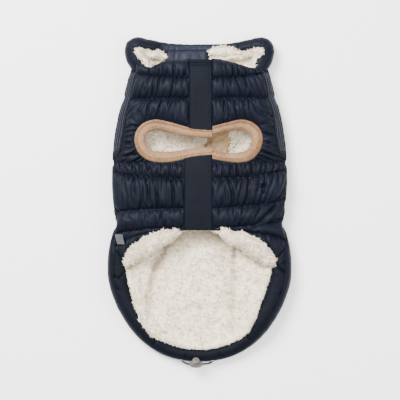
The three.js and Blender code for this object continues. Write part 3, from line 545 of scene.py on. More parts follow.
def curlGroup():
    # fine curled fibre on top of the modelled knots of fleece
    group, given, out = newGroup("fleeceCurl", {"Curl Scale": 420.0}, {"Height": "NodeSocketFloat"})
    place = addNode(group, "ShaderNodeTexCoord")
    spot = place.outputs["Object"]
    swirl = addNode(group, "ShaderNodeTexNoise", {"Vector": spot, "Scale": given.outputs["Curl Scale"]},
                    in_Detail=4.0, in_Roughness=0.62, in_Distortion=1.6)
    knots = addNode(group, "ShaderNodeTexVoronoi", {"Vector": spot}, in_Scale=300.0, feature="SMOOTH_F1")
    less = addNode(group, "ShaderNodeMath", {0: knots.outputs["Distance"]}, operation="MULTIPLY", in_1=-0.7)
    total = addNode(group, "ShaderNodeMath", {0: swirl.outputs["Fac"], 1: less.outputs[0]}, operation="ADD")
    group.links.new(total.outputs[0], out.inputs["Height"])
    return group


shared = {"tone": toneGroup(), "weave": weaveGroup(), "curl": curlGroup()}


def startMaterial(name, roughness, sheen=0.0, sheenTone=None, specular=0.5):
    material = bpy.data.materials.new(name)
    material.use_nodes = True
    tree = material.node_tree
    shader = tree.nodes["Principled BSDF"]
    shader.inputs["Roughness"].default_value = roughness
    shader.inputs["Specular IOR Level"].default_value = specular
    shader.inputs["Sheen Weight"].default_value = sheen
    shader.inputs["Sheen Roughness"].default_value = 0.45
    if sheenTone:
        shader.inputs["Sheen Tint"].default_value = linear(sheenTone)
    return material, tree, shader


def placeGroup(tree, group, **values):
    node = tree.nodes.new("ShaderNodeGroup")
    node.node_tree = group
    for key, value in values.items():
        node.inputs[key].default_value = value
    return node


def clothMaterial(
    name, dark, light, roughness, sheen, threads=2200.0, depth=0.05, drift=25.0, specular=0.5, sheenTone=None
):
    material, tree, shader = startMaterial(name, roughness, sheen, sheenTone, specular)
    tone = placeGroup(tree, shared["tone"], Dark=linear(dark), Light=linear(light))
    tone.inputs["Drift Scale"].default_value = drift
    weave = placeGroup(tree, shared["weave"], Threads=threads)
    bump = addNode(tree, "ShaderNodeBump", {"Height": weave.outputs["Height"]}, in_Strength=depth, in_Distance=0.0002)
    tree.links.new(tone.outputs["Color"], shader.inputs["Base Color"])
    rough = addNode(tree, "ShaderNodeMapRange", {"Value": tone.outputs["Mottle"]},
                    in_3=roughness - 0.08, in_4=roughness + 0.08)
    tree.links.new(rough.outputs["Result"], shader.inputs["Roughness"])
    tree.links.new(bump.outputs["Normal"], shader.inputs["Normal"])
    return material


def fleeceMaterial():
    material, tree, shader = startMaterial("curlyFleece", 0.95, 0.45, "fleeceLight", 0.2)
    curl = placeGroup(tree, shared["curl"])
    tone = placeGroup(tree, shared["tone"], Dark=linear("fleeceDark"), Light=linear("fleeceLight"))
    tone.inputs["Drift Scale"].default_value = 60.0
    tone.inputs["Mottle Scale"].default_value = 220.0
    bump = addNode(tree, "ShaderNodeBump", {"Height": curl.outputs["Height"]}, in_Strength=0.7, in_Distance=0.0012)
    # painted shade: the fleece's colour is mixed toward fleeceShade by the painted shade stored on its points
    painted_shade = addNode(tree, "ShaderNodeAttribute", attribute_name="painted_shade")
    color = tree.nodes.new("ShaderNodeMix")
    color.data_type = "RGBA"
    color.inputs[7].default_value = linear("fleeceShade")
    tree.links.new(painted_shade.outputs["Fac"], color.inputs[0])
    tree.links.new(tone.outputs["Color"], color.inputs[6])
    tree.links.new(color.outputs[2], shader.inputs["Base Color"])
    tree.links.new(bump.outputs["Normal"], shader.inputs["Normal"])
    return material


finishes = {
    "shell": clothMaterial("navyShellNylon", "shellDark", "shellLight", 0.52, 0.02,
                           depth=0.10, sheenTone="bandLight", specular=0.07),
    "trim": clothMaterial("navyTrimNylon", "trimDark", "trimLight", 0.60, 0.03,
                          threads=2600.0, depth=0.12, sheenTone="bandLight", specular=0.055),
    # painted light: a lighter copy of the navy for the collar band, where it faces the lamps
    "band": clothMaterial("collarBandLitNylon", "bandDark", "bandLight", 0.50, 0.03,
                          threads=2600.0, depth=0.12, sheenTone="bandLight", specular=0.12),
    "sideRib": clothMaterial("navyRibKnit", "ribDark", "trimLight", 0.80, 0.08, threads=1800.0, depth=0.35, specular=0.15),
    "tan": clothMaterial("tanRibKnit", "tanDark", "tanLight", 0.88, 0.18,
                         threads=1500.0, depth=0.40, drift=45.0, specular=0.3, sheenTone="tanLight"),
    "facing": clothMaterial("beigeFacing", "facingDark", "facingLight", 0.85, 0.15,
                            threads=1800.0, depth=0.30, drift=60.0, specular=0.2),
    # painted highlight: light grey for the thread lines on the gusset's rib ridges
    "ribHighlightThread": clothMaterial("ribHighlightThread", "ribHighlight", "ribHighlight", 0.60, 0.10, threads=5000.0, depth=0.30, specular=0.2),
    "label": clothMaterial("wovenLabel", "labelDark", "labelLight", 0.75, 0.15, threads=3200.0, depth=0.35),
    "cord": clothMaterial("elasticCord", "trimDark", "bandDark", 0.70, 0.20, threads=2000.0, depth=0.50),
    "navyThread": clothMaterial("navyThread", "trimDark", "trimLight", 0.60, 0.02,
                                threads=5000.0, depth=0.30, specular=0.06),
    "tanThread": clothMaterial("tanThread", "tanDark", "tanLight", 0.60, 0.20, threads=5000.0, depth=0.30),
    "fleece": fleeceMaterial(),
}


def plasticMaterial():
    material, tree, shader = startMaterial("satinPlastic", 0.38, 0.0)
    tone = placeGroup(tree, shared["tone"], Dark=linear("plasticDark"), Light=linear("plasticLight"))
    tone.inputs["Drift Scale"].default_value = 90.0
    grain = addNode(tree, "ShaderNodeBump", {"Height": tone.outputs["Mottle"]}, in_Strength=0.06, in_Distance=0.0001)
    tree.links.new(tone.outputs["Color"], shader.inputs["Base Color"])
    tree.links.new(grain.outputs["Normal"], shader.inputs["Normal"])
    return material


def metalMaterial():
    material, tree, shader = startMaterial("brushedEyelet", 0.32, 0.0)
    shader.inputs["Metallic"].default_value = 1.0
    tone = placeGroup(tree, shared["tone"], Dark=(0.30, 0.30, 0.29, 1.0), Light=(0.52, 0.52, 0.50, 1.0))
    tone.inputs["Mottle Scale"].default_value = 1500.0
    rough = addNode(tree, "ShaderNodeMapRange", {"Value": tone.outputs["Mottle"]}, in_3=0.22, in_4=0.45)
    tree.links.new(tone.outputs["Color"], shader.inputs["Base Color"])
    tree.links.new(rough.outputs["Result"], shader.inputs["Roughness"])
    return material


finishes["plastic"] = plasticMaterial()
finishes["metal"] = metalMaterial()
print("finishes made:", len(finishes))


def dress(piece, finish, body="coat", nodes=()):
    piece.data.materials.append(finishes[finish])
    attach(piece, body)
    if nodes:
        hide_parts(*nodes)
    return piece


legHole = legOutline()

# Quilted belly panels
quiltedBelly = {
    "columns": 88,
    "pointGap": 1.12,
    "innerDepth": 2.4,
    "seamDepth": 0.7,
    "pucker": 1.0,
    "seamWander": 1.1,
    "gatherBeside": 1.05,   # gathers by the leg openings, across and along
    "looseBeside": 1.19,
    "creaseUnder": 1.4,     # how far a crease may go under the panel's base
}
# creases on the coat: from, to, width and depth
bellyCreases = {
    "left": [
        (-81.6, 99.6, -74.0, 92.6, 1.5, 1.4), (-71.9, 109.2, -68.4, 96.6, 1.7, 1.6), (-90.6, 72.0, -79.0, 68.0, 1.6, 1.5),
        (-90.6, 50.4, -78.0, 60.6, 1.6, 1.5), (-56.0, 112.0, -52.0, 101.0, 1.5, 1.3),
        (-60.0, 36.0, -56.0, 48.0, 1.5, 1.2),
        (-40.0, -12.0, -34.0, -26.0, 2.2, 1.4), (-58.0, -10.0, -50.0, -22.0, 2.0, 1.3),
        (-66.0, -14.0, -52.0, -24.0, 2.0, 1.0),
        (-92.0, -12.0, -80.0, -22.0, 1.8, 1.2),
    ],
    "right": [
        (85.8, 102.6, 74.0, 90.6, 1.5, 1.5), (86.0, 85.6, 77.4, 80.2, 1.5, 1.4), (88.0, 70.0, 77.4, 69.6, 1.4, 1.3),
        (92.0, 66.4, 80.0, 63.0, 1.4, 1.3), (88.0, 55.2, 76.0, 60.4, 1.5, 1.3), (92.0, -2.0, 60.0, -36.0, 2.2, 4.4),
        (88.2, -20.4, 98.8, -22.8, 1.6, 1.8), (66.0, 12.0, 82.0, 24.0, 1.9, 2.2), (66.0, 21.0, 86.0, 16.0, 1.8, 2.0),
        (76.0, 6.0, 74.0, 26.0, 1.6, 1.6), (56.0, 110.0, 54.0, 100.6, 1.5, 1.3),
    ],
}


def bellyPanel(side):
    d = quiltedBelly
    name = sideName(side)
    seed = 31 if side < 0 else 47
    shares = evenShares(d["columns"])
    ys, angles, rows, sewn = [], [], [], []
    last = len(bellyRows["middle"]) - 1
    for row in range(last + 1):
        tall = np.max(np.abs(rowY(row, shares, side) - rowY(row + 1, shares, side)))
        steps = max(4, int(round(tall / d["pointGap"])))
        for k in range(steps + (row == last)):
            y, angle = bellyPlace(row, k / steps, shares, side)
            ys.append(y)
            angles.append(angle)
            rows.append(row)
            sewn.append(k == steps or (k == 0 and bellyRows["sewn"][row] == 1))
    y, angle = np.array(ys), np.array(angles)
    flat = archPoint(y, angle)
    spots = flat.reshape(-1, 3)
    shape = y.shape
    away = outsideDistance(spots[:, :2], legHole)[0].reshape(shape)
    pinned = np.zeros(shape, bool)
    pinned[np.array(sewn)] = True
    pinned[:, [0, -1]] = True
    pinned |= away < 1.2
    up = gridNormals(flat)
    up *= np.sign(up[..., 2].mean())
    fine = rippled(spots * [1.0, 0.4, 1.0], 4.0, seed, 2).reshape(shape)
    slow = rippled(spots, 8.0, seed + 9, 2).reshape(shape)
    share = np.broadcast_to(shares, shape)
    edge = smooth(away, 1.0, 4.0) * smooth(share, 0.0, 0.03) * smooth(1 - share, 0.0, 0.03)
    seam = mix(0.25, -d["seamDepth"] + d["pucker"] * (fine + slow), edge)
    start = flat + up * np.where(pinned, seam, 0.6 + 0.8 * fine)[..., None]
    wander = rippled(spots, 7.0, seed + 19, 2).reshape(shape)
    start[1:-1, :, 1] += np.where(pinned, d["seamWander"] * wander * edge, 0)[1:-1]
    beside = smooth(share, 0.62, 0.78) * smooth(y, 44, 54) * smooth(-y, -112, -98)   # next to the leg openings
    across = mix(np.array(bellyRows["gather"])[rows][:, None] * np.ones(shape), d["gatherBeside"], beside)
    along = mix(np.array(bellyRows["loose"])[rows][:, None] * np.ones(shape), d["looseBeside"], beside)
    outer = settleCloth(start, flat, pinned, up, across, along, seed)
    rise = ((outer - flat) * up).sum(2)
    valley = creaseDepth(outer[..., 0], outer[..., 1], bellyCreases[name])
    valley = np.clip(valley, 0, np.maximum(rise + d["creaseUnder"], 0))
    outer = outer - up * valley[..., None]
    piece = cutWallPiece(f"quilted_belly_{name}", outer, archPoint(y, angle, -d["innerDepth"]), legHole)
    dress(piece, "shell", nodes=[f"belly_shell_{name}"])
    return piece


for side in (-1, 1):
    bellyPanel(side)
print("belly panels quilted")

# Belly side of the collar: deep gathers run up from the neck seam to the folded edge
frontCollarLook = {
    "columns": 84, "rows": 24, "swell": 2.2, "gather": 1.5, "loose": 1.07,
    "shellInset": 8.4, "liningInset": 16.5,   # from the coat's outline at the side
}


def collarPoints(parts, shares, side, layer, lift):
    inset = frontCollarLook[f"{layer}Inset"]
    part, share = np.meshgrid(parts, shares, indexing="ij")
    seamY = rowY(0, share, side) - cut["tuck"]
    outX = mix(np.abs(innerX(seamY, side)), halfWidth(seamY) - inset, share)
    edgeY = readColumn(frontCollarEdge, "x", "y", side * outX) - (1.5 if layer == "lining" else 0)
    y = mix(edgeY, seamY, part)
    outer = angleAt(halfWidth(y) - inset, y)
    angle = side * mix(np.abs(angleAt(innerX(y, side), y)), outer, share)
    return archPoint(y, angle, lift)


def frontCollar(side):
    d = frontCollarLook
    name = sideName(side)
    seed = 57 if side < 0 else 62
    parts, shares = np.linspace(0, 1, d["rows"] + 1), np.linspace(0, 1, d["columns"] + 1)
    flat = collarPoints(parts, shares, side, "shell", 0.2)
    up = gridNormals(flat)
    up *= np.sign(up[..., 2].mean())
    part, share = np.meshgrid(parts, shares, indexing="ij")
    pinned = np.zeros(part.shape, bool)
    pinned[[0, -1]] = True
    pinned[:, [0, -1]] = True
    fine = rippled(flat.reshape(-1, 3) * [1.0, 0.4, 1.0], 5.0, seed, 2).reshape(part.shape)
    edge = smooth(share, 0, 0.05) * smooth(1 - share, 0, 0.05)
    puff = d["swell"] * np.sin(math.pi * part) ** 0.6
    start = flat + up * ((puff + 0.9 * fine) * edge)[..., None]
    start[0, :, 1] += 0.7 * fine[0] * edge[0]
    across = mix(1.06, d["gather"], part)
    outer = settleCloth(start, flat, pinned, up, across, d["loose"], seed, press=0.010, high=5.5)
    inner = collarPoints(mix(0.04, 1, np.linspace(0, 1, 7)), np.linspace(0, 1, 13), side, "shell", -2.59)
    piece = wallPiece(f"gathered_collar_{name}", outer, inner)
    dress(piece, "shell", nodes=[f"collar_front_{name}"])
    return piece


for side in (-1, 1):
    frontCollar(side)

# Closure strips
closure = {
    "upper": {"fromY": 166.6, "toY": 84.0, "leftX": -12.6, "rows": 72},
    "lower": {"fromY": 60.0, "toY": -32.6, "leftX": -18.0, "rows": 78},
    "rightX": 15.0,
    "columns": 26,
    "stitchInset": 2.6,
}


def closureLift(x, y, leftX):
    d = closure
    spots = np.stack([x, y, 0 * x], -1).reshape(-1, 3)
    slow = rippled(spots, 22.0, 21, 2).reshape(x.shape)
    fine = rippled(spots * [1, 0.5, 1], 5.0, 23, 2).reshape(x.shape)
    fromEdge = np.minimum(x - leftX, d["rightX"] - x)
    body = 1.3 + 1.55 * smooth(fromEdge, -0.4, 1.6)
    groove = 0.42 * np.exp(-(((fromEdge - d["stitchInset"]) / 0.55) ** 2))
    fold = 1.6 * np.exp(-(((y - 161.5) / 1.9) ** 2))
    return body - groove - fold + 0.28 * slow + 0.10 * fine


def closureStrip(name, node):
    d = closure[name]
    ys = np.linspace(d["fromY"], d["toY"], d["rows"] + 1)
    across = 0.5 - 0.5 * np.cos(math.pi * np.linspace(0, 1, closure["columns"] + 1))   # closer at both edges
    xs = mix(d["leftX"], closure["rightX"], across)
    y, x = np.meshgrid(ys, xs, indexing="ij")
    piece = cutWallPiece(
        f"closure_strip_{name}", archPoint(y, angleAt(x, y), closureLift(x, y, d["leftX"])),
        archPoint(y, angleAt(x, y), -2.6 + 0 * x), legHole,
    )
    dress(piece, "trim", nodes=[node])
    return piece


closureStrip("upper", "placket_upper")
closureStrip("lower", "placket_lower")

# Rib bands of the leg openings
legBand = {
    "ribs": 160, "pointsPerRib": 4, "ribDepth": 0.95,
    "end": 10.0, "side": 12.5,   # widths at the lap and at the sides
    "outer": {
        "out": [0, 0.1, 0.24, 0.31, 0.38, 0.5, 0.68, 0.86, 1],
        "lift": [0.6, 1.6, 1.9, 0.9, 1.9, 2.1, 1.5, 0.0, -2.2],
    },
    "inner": {"out": [0, 0.5, 1], "lift": [-2.2, -2.2, -3.6]},
}


def lapLift(side, ends):
    # the left band's ends lie over the right one's
    return 0.8 * (1 - smooth(ends, 0.02, 0.12)) if side < 0 else 0 * ends


def ribBand(side, lobe):
    d = legBand
    name = sideName(side)

    def bandPoints(count, table, outs, ribbed):
        at, inward, along = lobeFrames(lobe, count)
        ends = np.minimum(along, 1 - along)
        width = mix(d["end"], d["side"], smooth(ends, 0.05, 0.3))
        out = np.asarray(outs)[None, :]
        place = at[:, None, :] + inward[:, None, :] * (width[:, None, None] * out[..., None])
        lift = readColumn(table, "out", "lift", out) + lapLift(side, ends)[:, None]
        if ribbed:
            ridge = np.abs(np.sin(math.pi * along * d["ribs"])) ** 0.8
            ribs = d["ribDepth"] * (ridge[:, None] - 0.4)
            lift = lift + ribs * smooth(out, 0.0, 0.08) * (1 - 0.85 * smooth(out, 0.3, 0.42))
            spots = np.dstack([place, 0 * place[..., :1]]).reshape(-1, 3)
            slow = rippled(spots, 14.0, 33 + side, 2).reshape(lift.shape)
            lift = lift + 0.30 * slow * smooth(out, 0.05, 0.4)
        return np.dstack([place, archHeight(place[..., 0], place[..., 1]) + lift])
    outs = np.r_[0, 0.06, 0.13, 0.2, 0.26, 0.31, 0.36, 0.43, 0.52, 0.62, 0.72, 0.82, 0.91, 1]   # closer by the stitching
    outer = bandPoints(d["ribs"] * d["pointsPerRib"], d["outer"], outs, True)
    inner = bandPoints(60, d["inner"], np.linspace(0, 1, 4), False)
    piece = wallPiece(f"leg_band_{name}", outer, inner, sharp=80)
    dress(piece, "tan", nodes=[f"leg_rib_{name}"])
    return piece


ribBand(-1, leftLobe)
ribBand(1, rightLobe)
print("closure and leg bands made")

# Rib gussets along the sides of the chest
gusset = {"ridges": 6, "fromY": 154.0, "toY": 50.5, "rows": 86, "ridgeHeight": 0.6, "under": 0.9}


def gussetStart(y):
    return stepAngle(y, edgeAngle(y), np.where(y < 76, 1.2, 0.4))


def gussetPinch(y):
    # where the quilting's ends draw the knit in
    return np.exp(-(((y - 126) / 4.0) ** 2)) + 0.6 * np.exp(-(((y - 100) / 3.0) ** 2))


def sideGusset(side):
    d = gusset
    name = sideName(side)
    ys = np.linspace(d["fromY"], d["toY"], d["rows"] + 1)
    across = np.linspace(0, 1, d["ridges"] * 4 + 1)
    y, c = np.meshgrid(ys, across, indexing="ij")
    finish = stepAngle(y, seamAngle(y), d["under"])   # runs on under the back panel's edge
    angle = mix(gussetStart(y), finish, c)
    ridge = np.abs(np.sin(math.pi * c * d["ridges"])) ** 0.7
    slow = rippled(archPoint(y, side * angle).reshape(-1, 3), 9.0, 41 + side, 2).reshape(y.shape)
    lift = 0.1 + d["ridgeHeight"] * ridge + 0.5 * np.sin(math.pi * c) - 0.7 * gussetPinch(y) + 0.3 * slow
    inner = archPoint(y[::6], side * angle[::6], -2.0)[:, ::6]
    piece = wallPiece(f"side_gusset_{name}", archPoint(y, side * angle, lift), inner, sharp=80)
    dress(piece, "sideRib", nodes=[f"side_rib_{name}"])
    wide = float(np.linalg.norm(np.diff(archPoint(y, side * angle), axis=1), axis=-1).sum(1).mean())
    return piece


for side in (-1, 1):
    sideGusset(side)


# Frames round the outlines: a point, its inward direction and the roundness of the fold there
def outlineFrames(half, count, turn):
    full = np.vstack([half, half[:-1][::-1] * [-1, 1]])
    at, tangent = splineThrough(full, np.linspace(0, 0.5, count + 1))
    inward = np.stack([-tangent[:, 1], tangent[:, 0]], 1) * turn
    at[-1, 0] = 0
    inward[-1] = [0, -np.sign(at[-1, 1])]
    return at, unit(inward)


def mirrored(frames):
    flip = {key: value[:-1][::-1] for key, value in frames.items()}
    for key in ("at", "inward"):
        flip[key] = flip[key] * [-1, 1]
    return {key: np.concatenate([value, flip[key]]) for key, value in frames.items()}


def backFrames(count, fromY=None):
    fromY = cut["neckY"] if fromY is None else fromY
    rows = [(-h, y) for y, h in zip(bodyStations["y"], bodyStations["half"]) if y <= cut["neckY"]]
    rows += [(-h, y) for y, h in zip(tailStations["y"], tailStations["half"])] + [(0, cut["tailY"])]
    at, inward = outlineFrames(np.array(rows, float), count, 1)
    square = smooth(at[:, 1], 135, cut["neckY"])[:, None]
    inward = unit(mix(inward, np.array([1.0, 0.0]), square))
    radius = mix(cut["sideRadius"], cut["rearRadius"], smooth(-at[:, 1], 30, 70))
    radius = mix(radius, cut["tailRadius"], smooth(-at[:, 1], 150, 189))
    kept = at[:, 1] <= fromY + 0.01
    frames = mirrored({"at": at[kept], "inward": inward[kept], "radius": radius[kept]})
    x, y = frames["at"].T   # the right of the hem stands a little wider
    frames["radius"] += 1.7 * (x > 0) * smooth(-y, 58, 86) * smooth(y, -172, -146)
    return frames


def rimPoint(frames, inset, height):
    inset = np.broadcast_to(inset, frames["radius"].shape)[:, None]
    height = np.broadcast_to(height, frames["radius"].shape)[:, None]
    return np.hstack([frames["at"] + frames["inward"] * inset, height])


def foldPoint(frames, degrees, depth=0.0):
    angle = np.radians(degrees)
    reach = frames["radius"] - depth
    return rimPoint(frames, frames["radius"] - reach * np.cos(angle), frames["radius"] + reach * np.sin(angle))


def backTop(frames, depth, gap=0.8):
    side = np.where(frames["at"][:, 0] > 0, 1.0, -1.0)
    y = np.maximum(frames["at"][:, 1], -68)
    seam = archPoint(y, side * stepAngle(y, seamAngle(y), gap), -np.asarray(depth) + 0 * y)
    return mix(seam, foldPoint(frames, cut["hemSeam"], depth), smooth(-frames["at"][:, 1], 50, 60)[:, None])


def spine(frames, height):
    y = np.maximum(frames["at"][:, 1], cut["spineEndY"])
    return np.stack([0 * y, y, height + 0 * y], 1)


# Quilted back panel, which shows as the coat's sides and the outer fold of the hips
quiltedBack = {
    "frames": 230,
    "seams": [122.4, 46, -3, -27],
    "dip": 1.9,
    "puff": 0.9,
}


def seamDip(frames):
    near = np.stack([np.exp(-(((frames["at"][:, 1] - y) / 3.6) ** 2)) for y in quiltedBack["seams"]])
    return near.max(0) * (1 - 0.9 * smooth(-frames["at"][:, 1], 30, 42))


def backPanel():
    d = quiltedBack
    frames = backFrames(d["frames"])
    dip = seamDip(frames)
    high = mix(13, 28, smooth(-frames["at"][:, 1], 40, 60))
    length = lengthAlong(frames["at"])
    columns = [spine(frames, 0), spine(frames, 0) * 0.5 + foldPoint(frames, -90) * 0.5, foldPoint(frames, -90)]
    for k in range(1, 13):
        degrees = -90 + (90 + high) * k / 12
        rise = smooth(k / 12, 0.1, 0.5)
        wave = rippled(np.column_stack([length, 0 * length + degrees[0] * 0.25, 0 * length]), 7.0, 3, 3)
        depth = rise * (d["dip"] * dip - d["puff"] * 0.35 * (1 - dip) - 0.55 * wave * (0.5 + 0.5 * dip))
        columns.append(foldPoint(frames, degrees, depth))
    start, end = columns[-1], backTop(frames, 0.5 * d["dip"] * dip)
    outward = unit(foldPoint(frames, high + 20) - foldPoint(frames, high + 20, 4))
    for k in range(1, 7):
        t = k / 6
        wave = rippled(np.column_stack([length, 0 * length + 20 * t, 0 * length]), 6.0, 4, 3)
        bulge = math.sin(math.pi * t) * (0.9 * (1 - 0.8 * dip) + 0.5 * wave)
        columns.append(mix(start, end, t) + outward * bulge[:, None])
    outer = np.stack(columns, 1)
    coarse = backFrames(46)
    inner = [spine(coarse, 4.5), *(foldPoint(coarse, a, 4.5) for a in (-90, -40, 5)), backTop(coarse, 4.5)]
    piece = wallPiece("quilted_back", outer, np.stack(inner, 1), folded=True)
    dress(piece, "shell", nodes=["back_shell"])
    return piece


backPanel()
print("back panel quilted")

# Ruched elastic casing round the rear
casing = {
    "frames": 380, "across": 15, "wall": 3.0, "startY": -56.0, "puff": 0.9,
    "folds": [   # from, to, width and depth
        (-110, -81, -96, -92, 1.5, 3.4), (-96, -92, -88, -84, 1.5, 2.4), (-106, -98, -93, -106, 1.5, 2.0),
        (86, -72, 109, -88, 1.7, 3.4), (106, -98, 92, -112, 1.9, 2.0), (99, -118, 85, -129, 1.9, 1.8),
        (-84, -146, -77, -139, 1.6, 2.0), (-58, -172, -49, -163, 1.6, 1.8), (66, -166, 53, -159, 1.8, 2.0),
        (28, -187, 21, -177, 1.6, 1.6), (-20, -189, -13, -179, 1.6, 1.5), (104, -70, 94, -76, 1.5, 2.0),
    ],
}
# how far in from the outline the fleece begins
casingInset = {
    "left": {
        "y": [-180, -169, -158, -142, -125, -110, -95, -71],
        "inset": [15.4, 13.4, 15.0, 18.2, 20.6, 22.2, 22.6, 22.6],
    },
    "right": {
        "y": [-180, -168, -158, -144, -126, -108, -90, -71],
        "inset": [15.4, 15.6, 18.5, 22.4, 25.2, 25.6, 25.0, 24.0],
    },
}


def hemLip(frames):
    # degrees round the fold at which the casing ends and the fleece begins
    y = frames["at"][:, 1]
    left, right = (readColumn(casingInset[name], "y", "inset", y) for name in ("left", "right"))
    inset = np.where(frames["at"][:, 0] < 0, left, right)
    return np.degrees(np.arccos(np.clip(1 - inset / frames["radius"], -0.883, 1)))


def casingInner(frames):
    y = np.maximum(frames["at"][:, 1], cut["hemCornerY"])
    corner = 2.2 * np.exp(-(((y + 67) / 8) ** 2))   # a little deeper at the hem's corner
    inset = halfWidth(y) - halfWidth(y) * np.sin(edgeAngle(y)) + cut["tuck"] + corner
    beside = np.degrees(np.arccos(np.clip(1 - inset / frames["radius"], -1, 1)))
    return mix(beside, hemLip(frames), smooth(-frames["at"][:, 1], 3 - cut["hemCornerY"], 14 - cut["hemCornerY"]))


def hemCasing():
    d = casing
    start = cut["hemSeam"] + 2.2
    frames = backFrames(d["frames"], d["startY"])
    length = lengthAlong(frames["at"])
    end = np.maximum(casingInner(frames), start + 4)
    rng = np.random.default_rng(19)
    pleats = np.zeros((len(length), d["across"] + 1))
    parts = np.linspace(0, 1, d["across"] + 1)
    s = 0.0
    while s < length[-1]:
        wide, deep, reach, lean = rng.uniform(0.8, 2.0), rng.uniform(0.3, 1.0), rng.uniform(0.3, 0.8), rng.normal(0, 2.5)
        fromInside = rng.random() < 0.65
        along = (1 - parts) if fromInside else parts
        valley = deep * np.clip(1 - along / reach, 0, 1) ** 0.7
        pleats += valley[None, :] * np.exp(-(((length[:, None] - s - lean * along[None, :]) / wide) ** 2))
        s += rng.uniform(2.5, 9.0)
    columns = []
    for k, part in enumerate(parts):
        spots = np.column_stack([length, 0 * length + part * 22, 0 * length])
        wave = rippled(spots, 11.0, 8, 3)
        puff = d["puff"] * math.sin(math.pi * min(max(part, 0.03), 0.97)) ** 0.6
        lift = 0.2 + puff * (1 + 0.35 * wave) - np.minimum(pleats[:, k], 1.5) * (0.4 + 0.3 * puff)
        columns.append(foldPoint(frames, mix(start, end, part), -lift))
    coarse = backFrames(60, d["startY"])
    last = np.maximum(casingInner(coarse), start + 4)
    inner = np.stack([foldPoint(coarse, mix(start, last, part), d["wall"]) for part in (0, 0.5, 1)], 1)
    outer = np.stack(columns, 1)
    away = unit(outer - rimPoint(frames, frames["radius"], frames["radius"])[:, None])
    outer -= away * creaseDepth(outer[..., 0], outer[..., 1], d["folds"])[..., None]
    piece = wallPiece("ruched_hem", outer, inner)
    dress(piece, "trim", nodes=["hem_casing"])
    return piece


hemCasing()

# Fleece
fleeceLook = {
    "knot": 7.0, "knotDepth": 2.4, "swell": 2.2,
    "backFrames": 250, "backAcross": 84,
    "leftWall": {"x": [-60.6, -60.6, -52.2, -39.4, -36.0], "y": [-150, -102, -74.4, -54, -40]},
    "folds": [   # from, to, width and depth
        (42.4, -36.0, 40.4, -66.0, 2.6, 2.6), (40.4, -66.0, 39.0, -140.0, 3.2, 1.5),
        (-39.4, -50.0, -53.0, -76.0, 2.2, 2.6), (-53.0, -74.0, -61.0, -112.0, 2.4, 1.8),
        (18.0, -56.0, 34.0, -62.0, 3.0, 1.4), (-8.0, -120.0, 6.0, -128.0, 3.4, 1.4), (14.0, -74.0, 30.0, -70.0, 2.6, 1.2),
    ],
}
# painted shade on the fleece, where shade falls under the rolls, in the folds and inside the leg openings: from, to,
# width and strength
paintedShadeMarks = [
    (-46, -36, 40, -38, 14, 0.62), (-27, -42, -86, -77, 4.0, 0.6), (34, -47, 86, -77, 3.2, 0.65),   # under the rolls
    (-33, -46, -50, -74, 7.0, 0.62), (-52, -74, -61, -122, 5.0, 0.45), (42.2, -43, 40.6, -64, 3.0, 0.9),   # in the folds
    (40.6, -66, 41.6, -92, 3.2, 0.4), (41.4, -94, 38, -150, 3.6, 0.24), (30, -56, 34, -112, 10, 0.24),
    (-60, 73, 40, 73, 15, 0.35), (-30, 73, 12, 73, 12, 0.4), (30, 96, 70, 92, 5, 0.35),   # inside the leg openings
    (-10, -120, 4, -128, 6, 0.2), (16, -66, 30, -62, 5, 0.2),
]


def paintFleeceShade(piece, strength=1.0):
    # paints shade into the fleece's colour along each mark and stores it on the points
    spots = np.empty(len(piece.data.vertices) * 3)
    piece.data.vertices.foreach_get("co", spots)
    spots = spots.reshape(-1, 3)[:, :2] / mm
    light = np.ones(len(spots))
    for x0, y0, x1, y1, width, depth in paintedShadeMarks:
        way = np.array([x1 - x0, y1 - y0])
        t = np.clip(((spots - [x0, y0]) @ way) / (way @ way), 0, 1)
        away = np.hypot(*(spots - [x0, y0] - t[:, None] * way).T)
        light *= 1 - depth * strength * np.exp(-((away / width) ** 2))
    layer = piece.data.attributes.new("painted_shade", "FLOAT", "POINT")
    layer.data.foreach_set("value", (1 - light).astype(np.float32))


def fleeceGrid(grid, seed, out, fade=None):
    # knots and hollows of curly fleece, moved along the grid's own normals
    d = fleeceLook
    spots = grid.reshape(-1, 3)
    knots = lumps(spots, d["knot"], seed).reshape(grid.shape[:2])
    small = lumps(spots, d["knot"] * 0.45, seed + 1).reshape(grid.shape[:2])
    slow = rippled(spots, 13.0, seed + 2, 2).reshape(grid.shape[:2])
    lift = d["knotDepth"] * (knots - 0.45) + 0.5 * (small - 0.5) + d["swell"] * slow
    if fade is not None:
        lift = lift * fade
    return grid + gridNormals(grid) * (out * lift)[..., None]


def raggedRim(grid, outward, steps, reach, seed, rest=0.5):
    # tufts of pile along the last columns of a grid push out over what they lie on
    uneven = rippled(grid[:, -1], 8.0, seed, 3)
    share = np.clip((np.arange(grid.shape[1]) - grid.shape[1] + 1 + steps) / steps, 0, 1)
    push = (rest + reach * 0.9 * uneven)[:, None] * share[None, :]
    return np.dstack([push[..., None] * outward[:, None, :], 0.35 * np.abs(push)])


def spacedLines(keys, share, times):
    # lines through rows of key places, read at shares of their length, their corners rounded
    gaps = np.linalg.norm(np.diff(keys, axis=1), axis=2)
    at = np.concatenate([0 * gaps[:, :1], np.cumsum(gaps, 1)], 1)
    at = at / at[:, -1:]
    lines = np.array([readLine(share, places, line) for places, line in zip(at, keys)])
    for _ in range(times):
        lines[:, 1:-1] = 0.5 * lines[:, 1:-1] + 0.25 * (lines[:, :-2] + lines[:, 2:])
    return lines


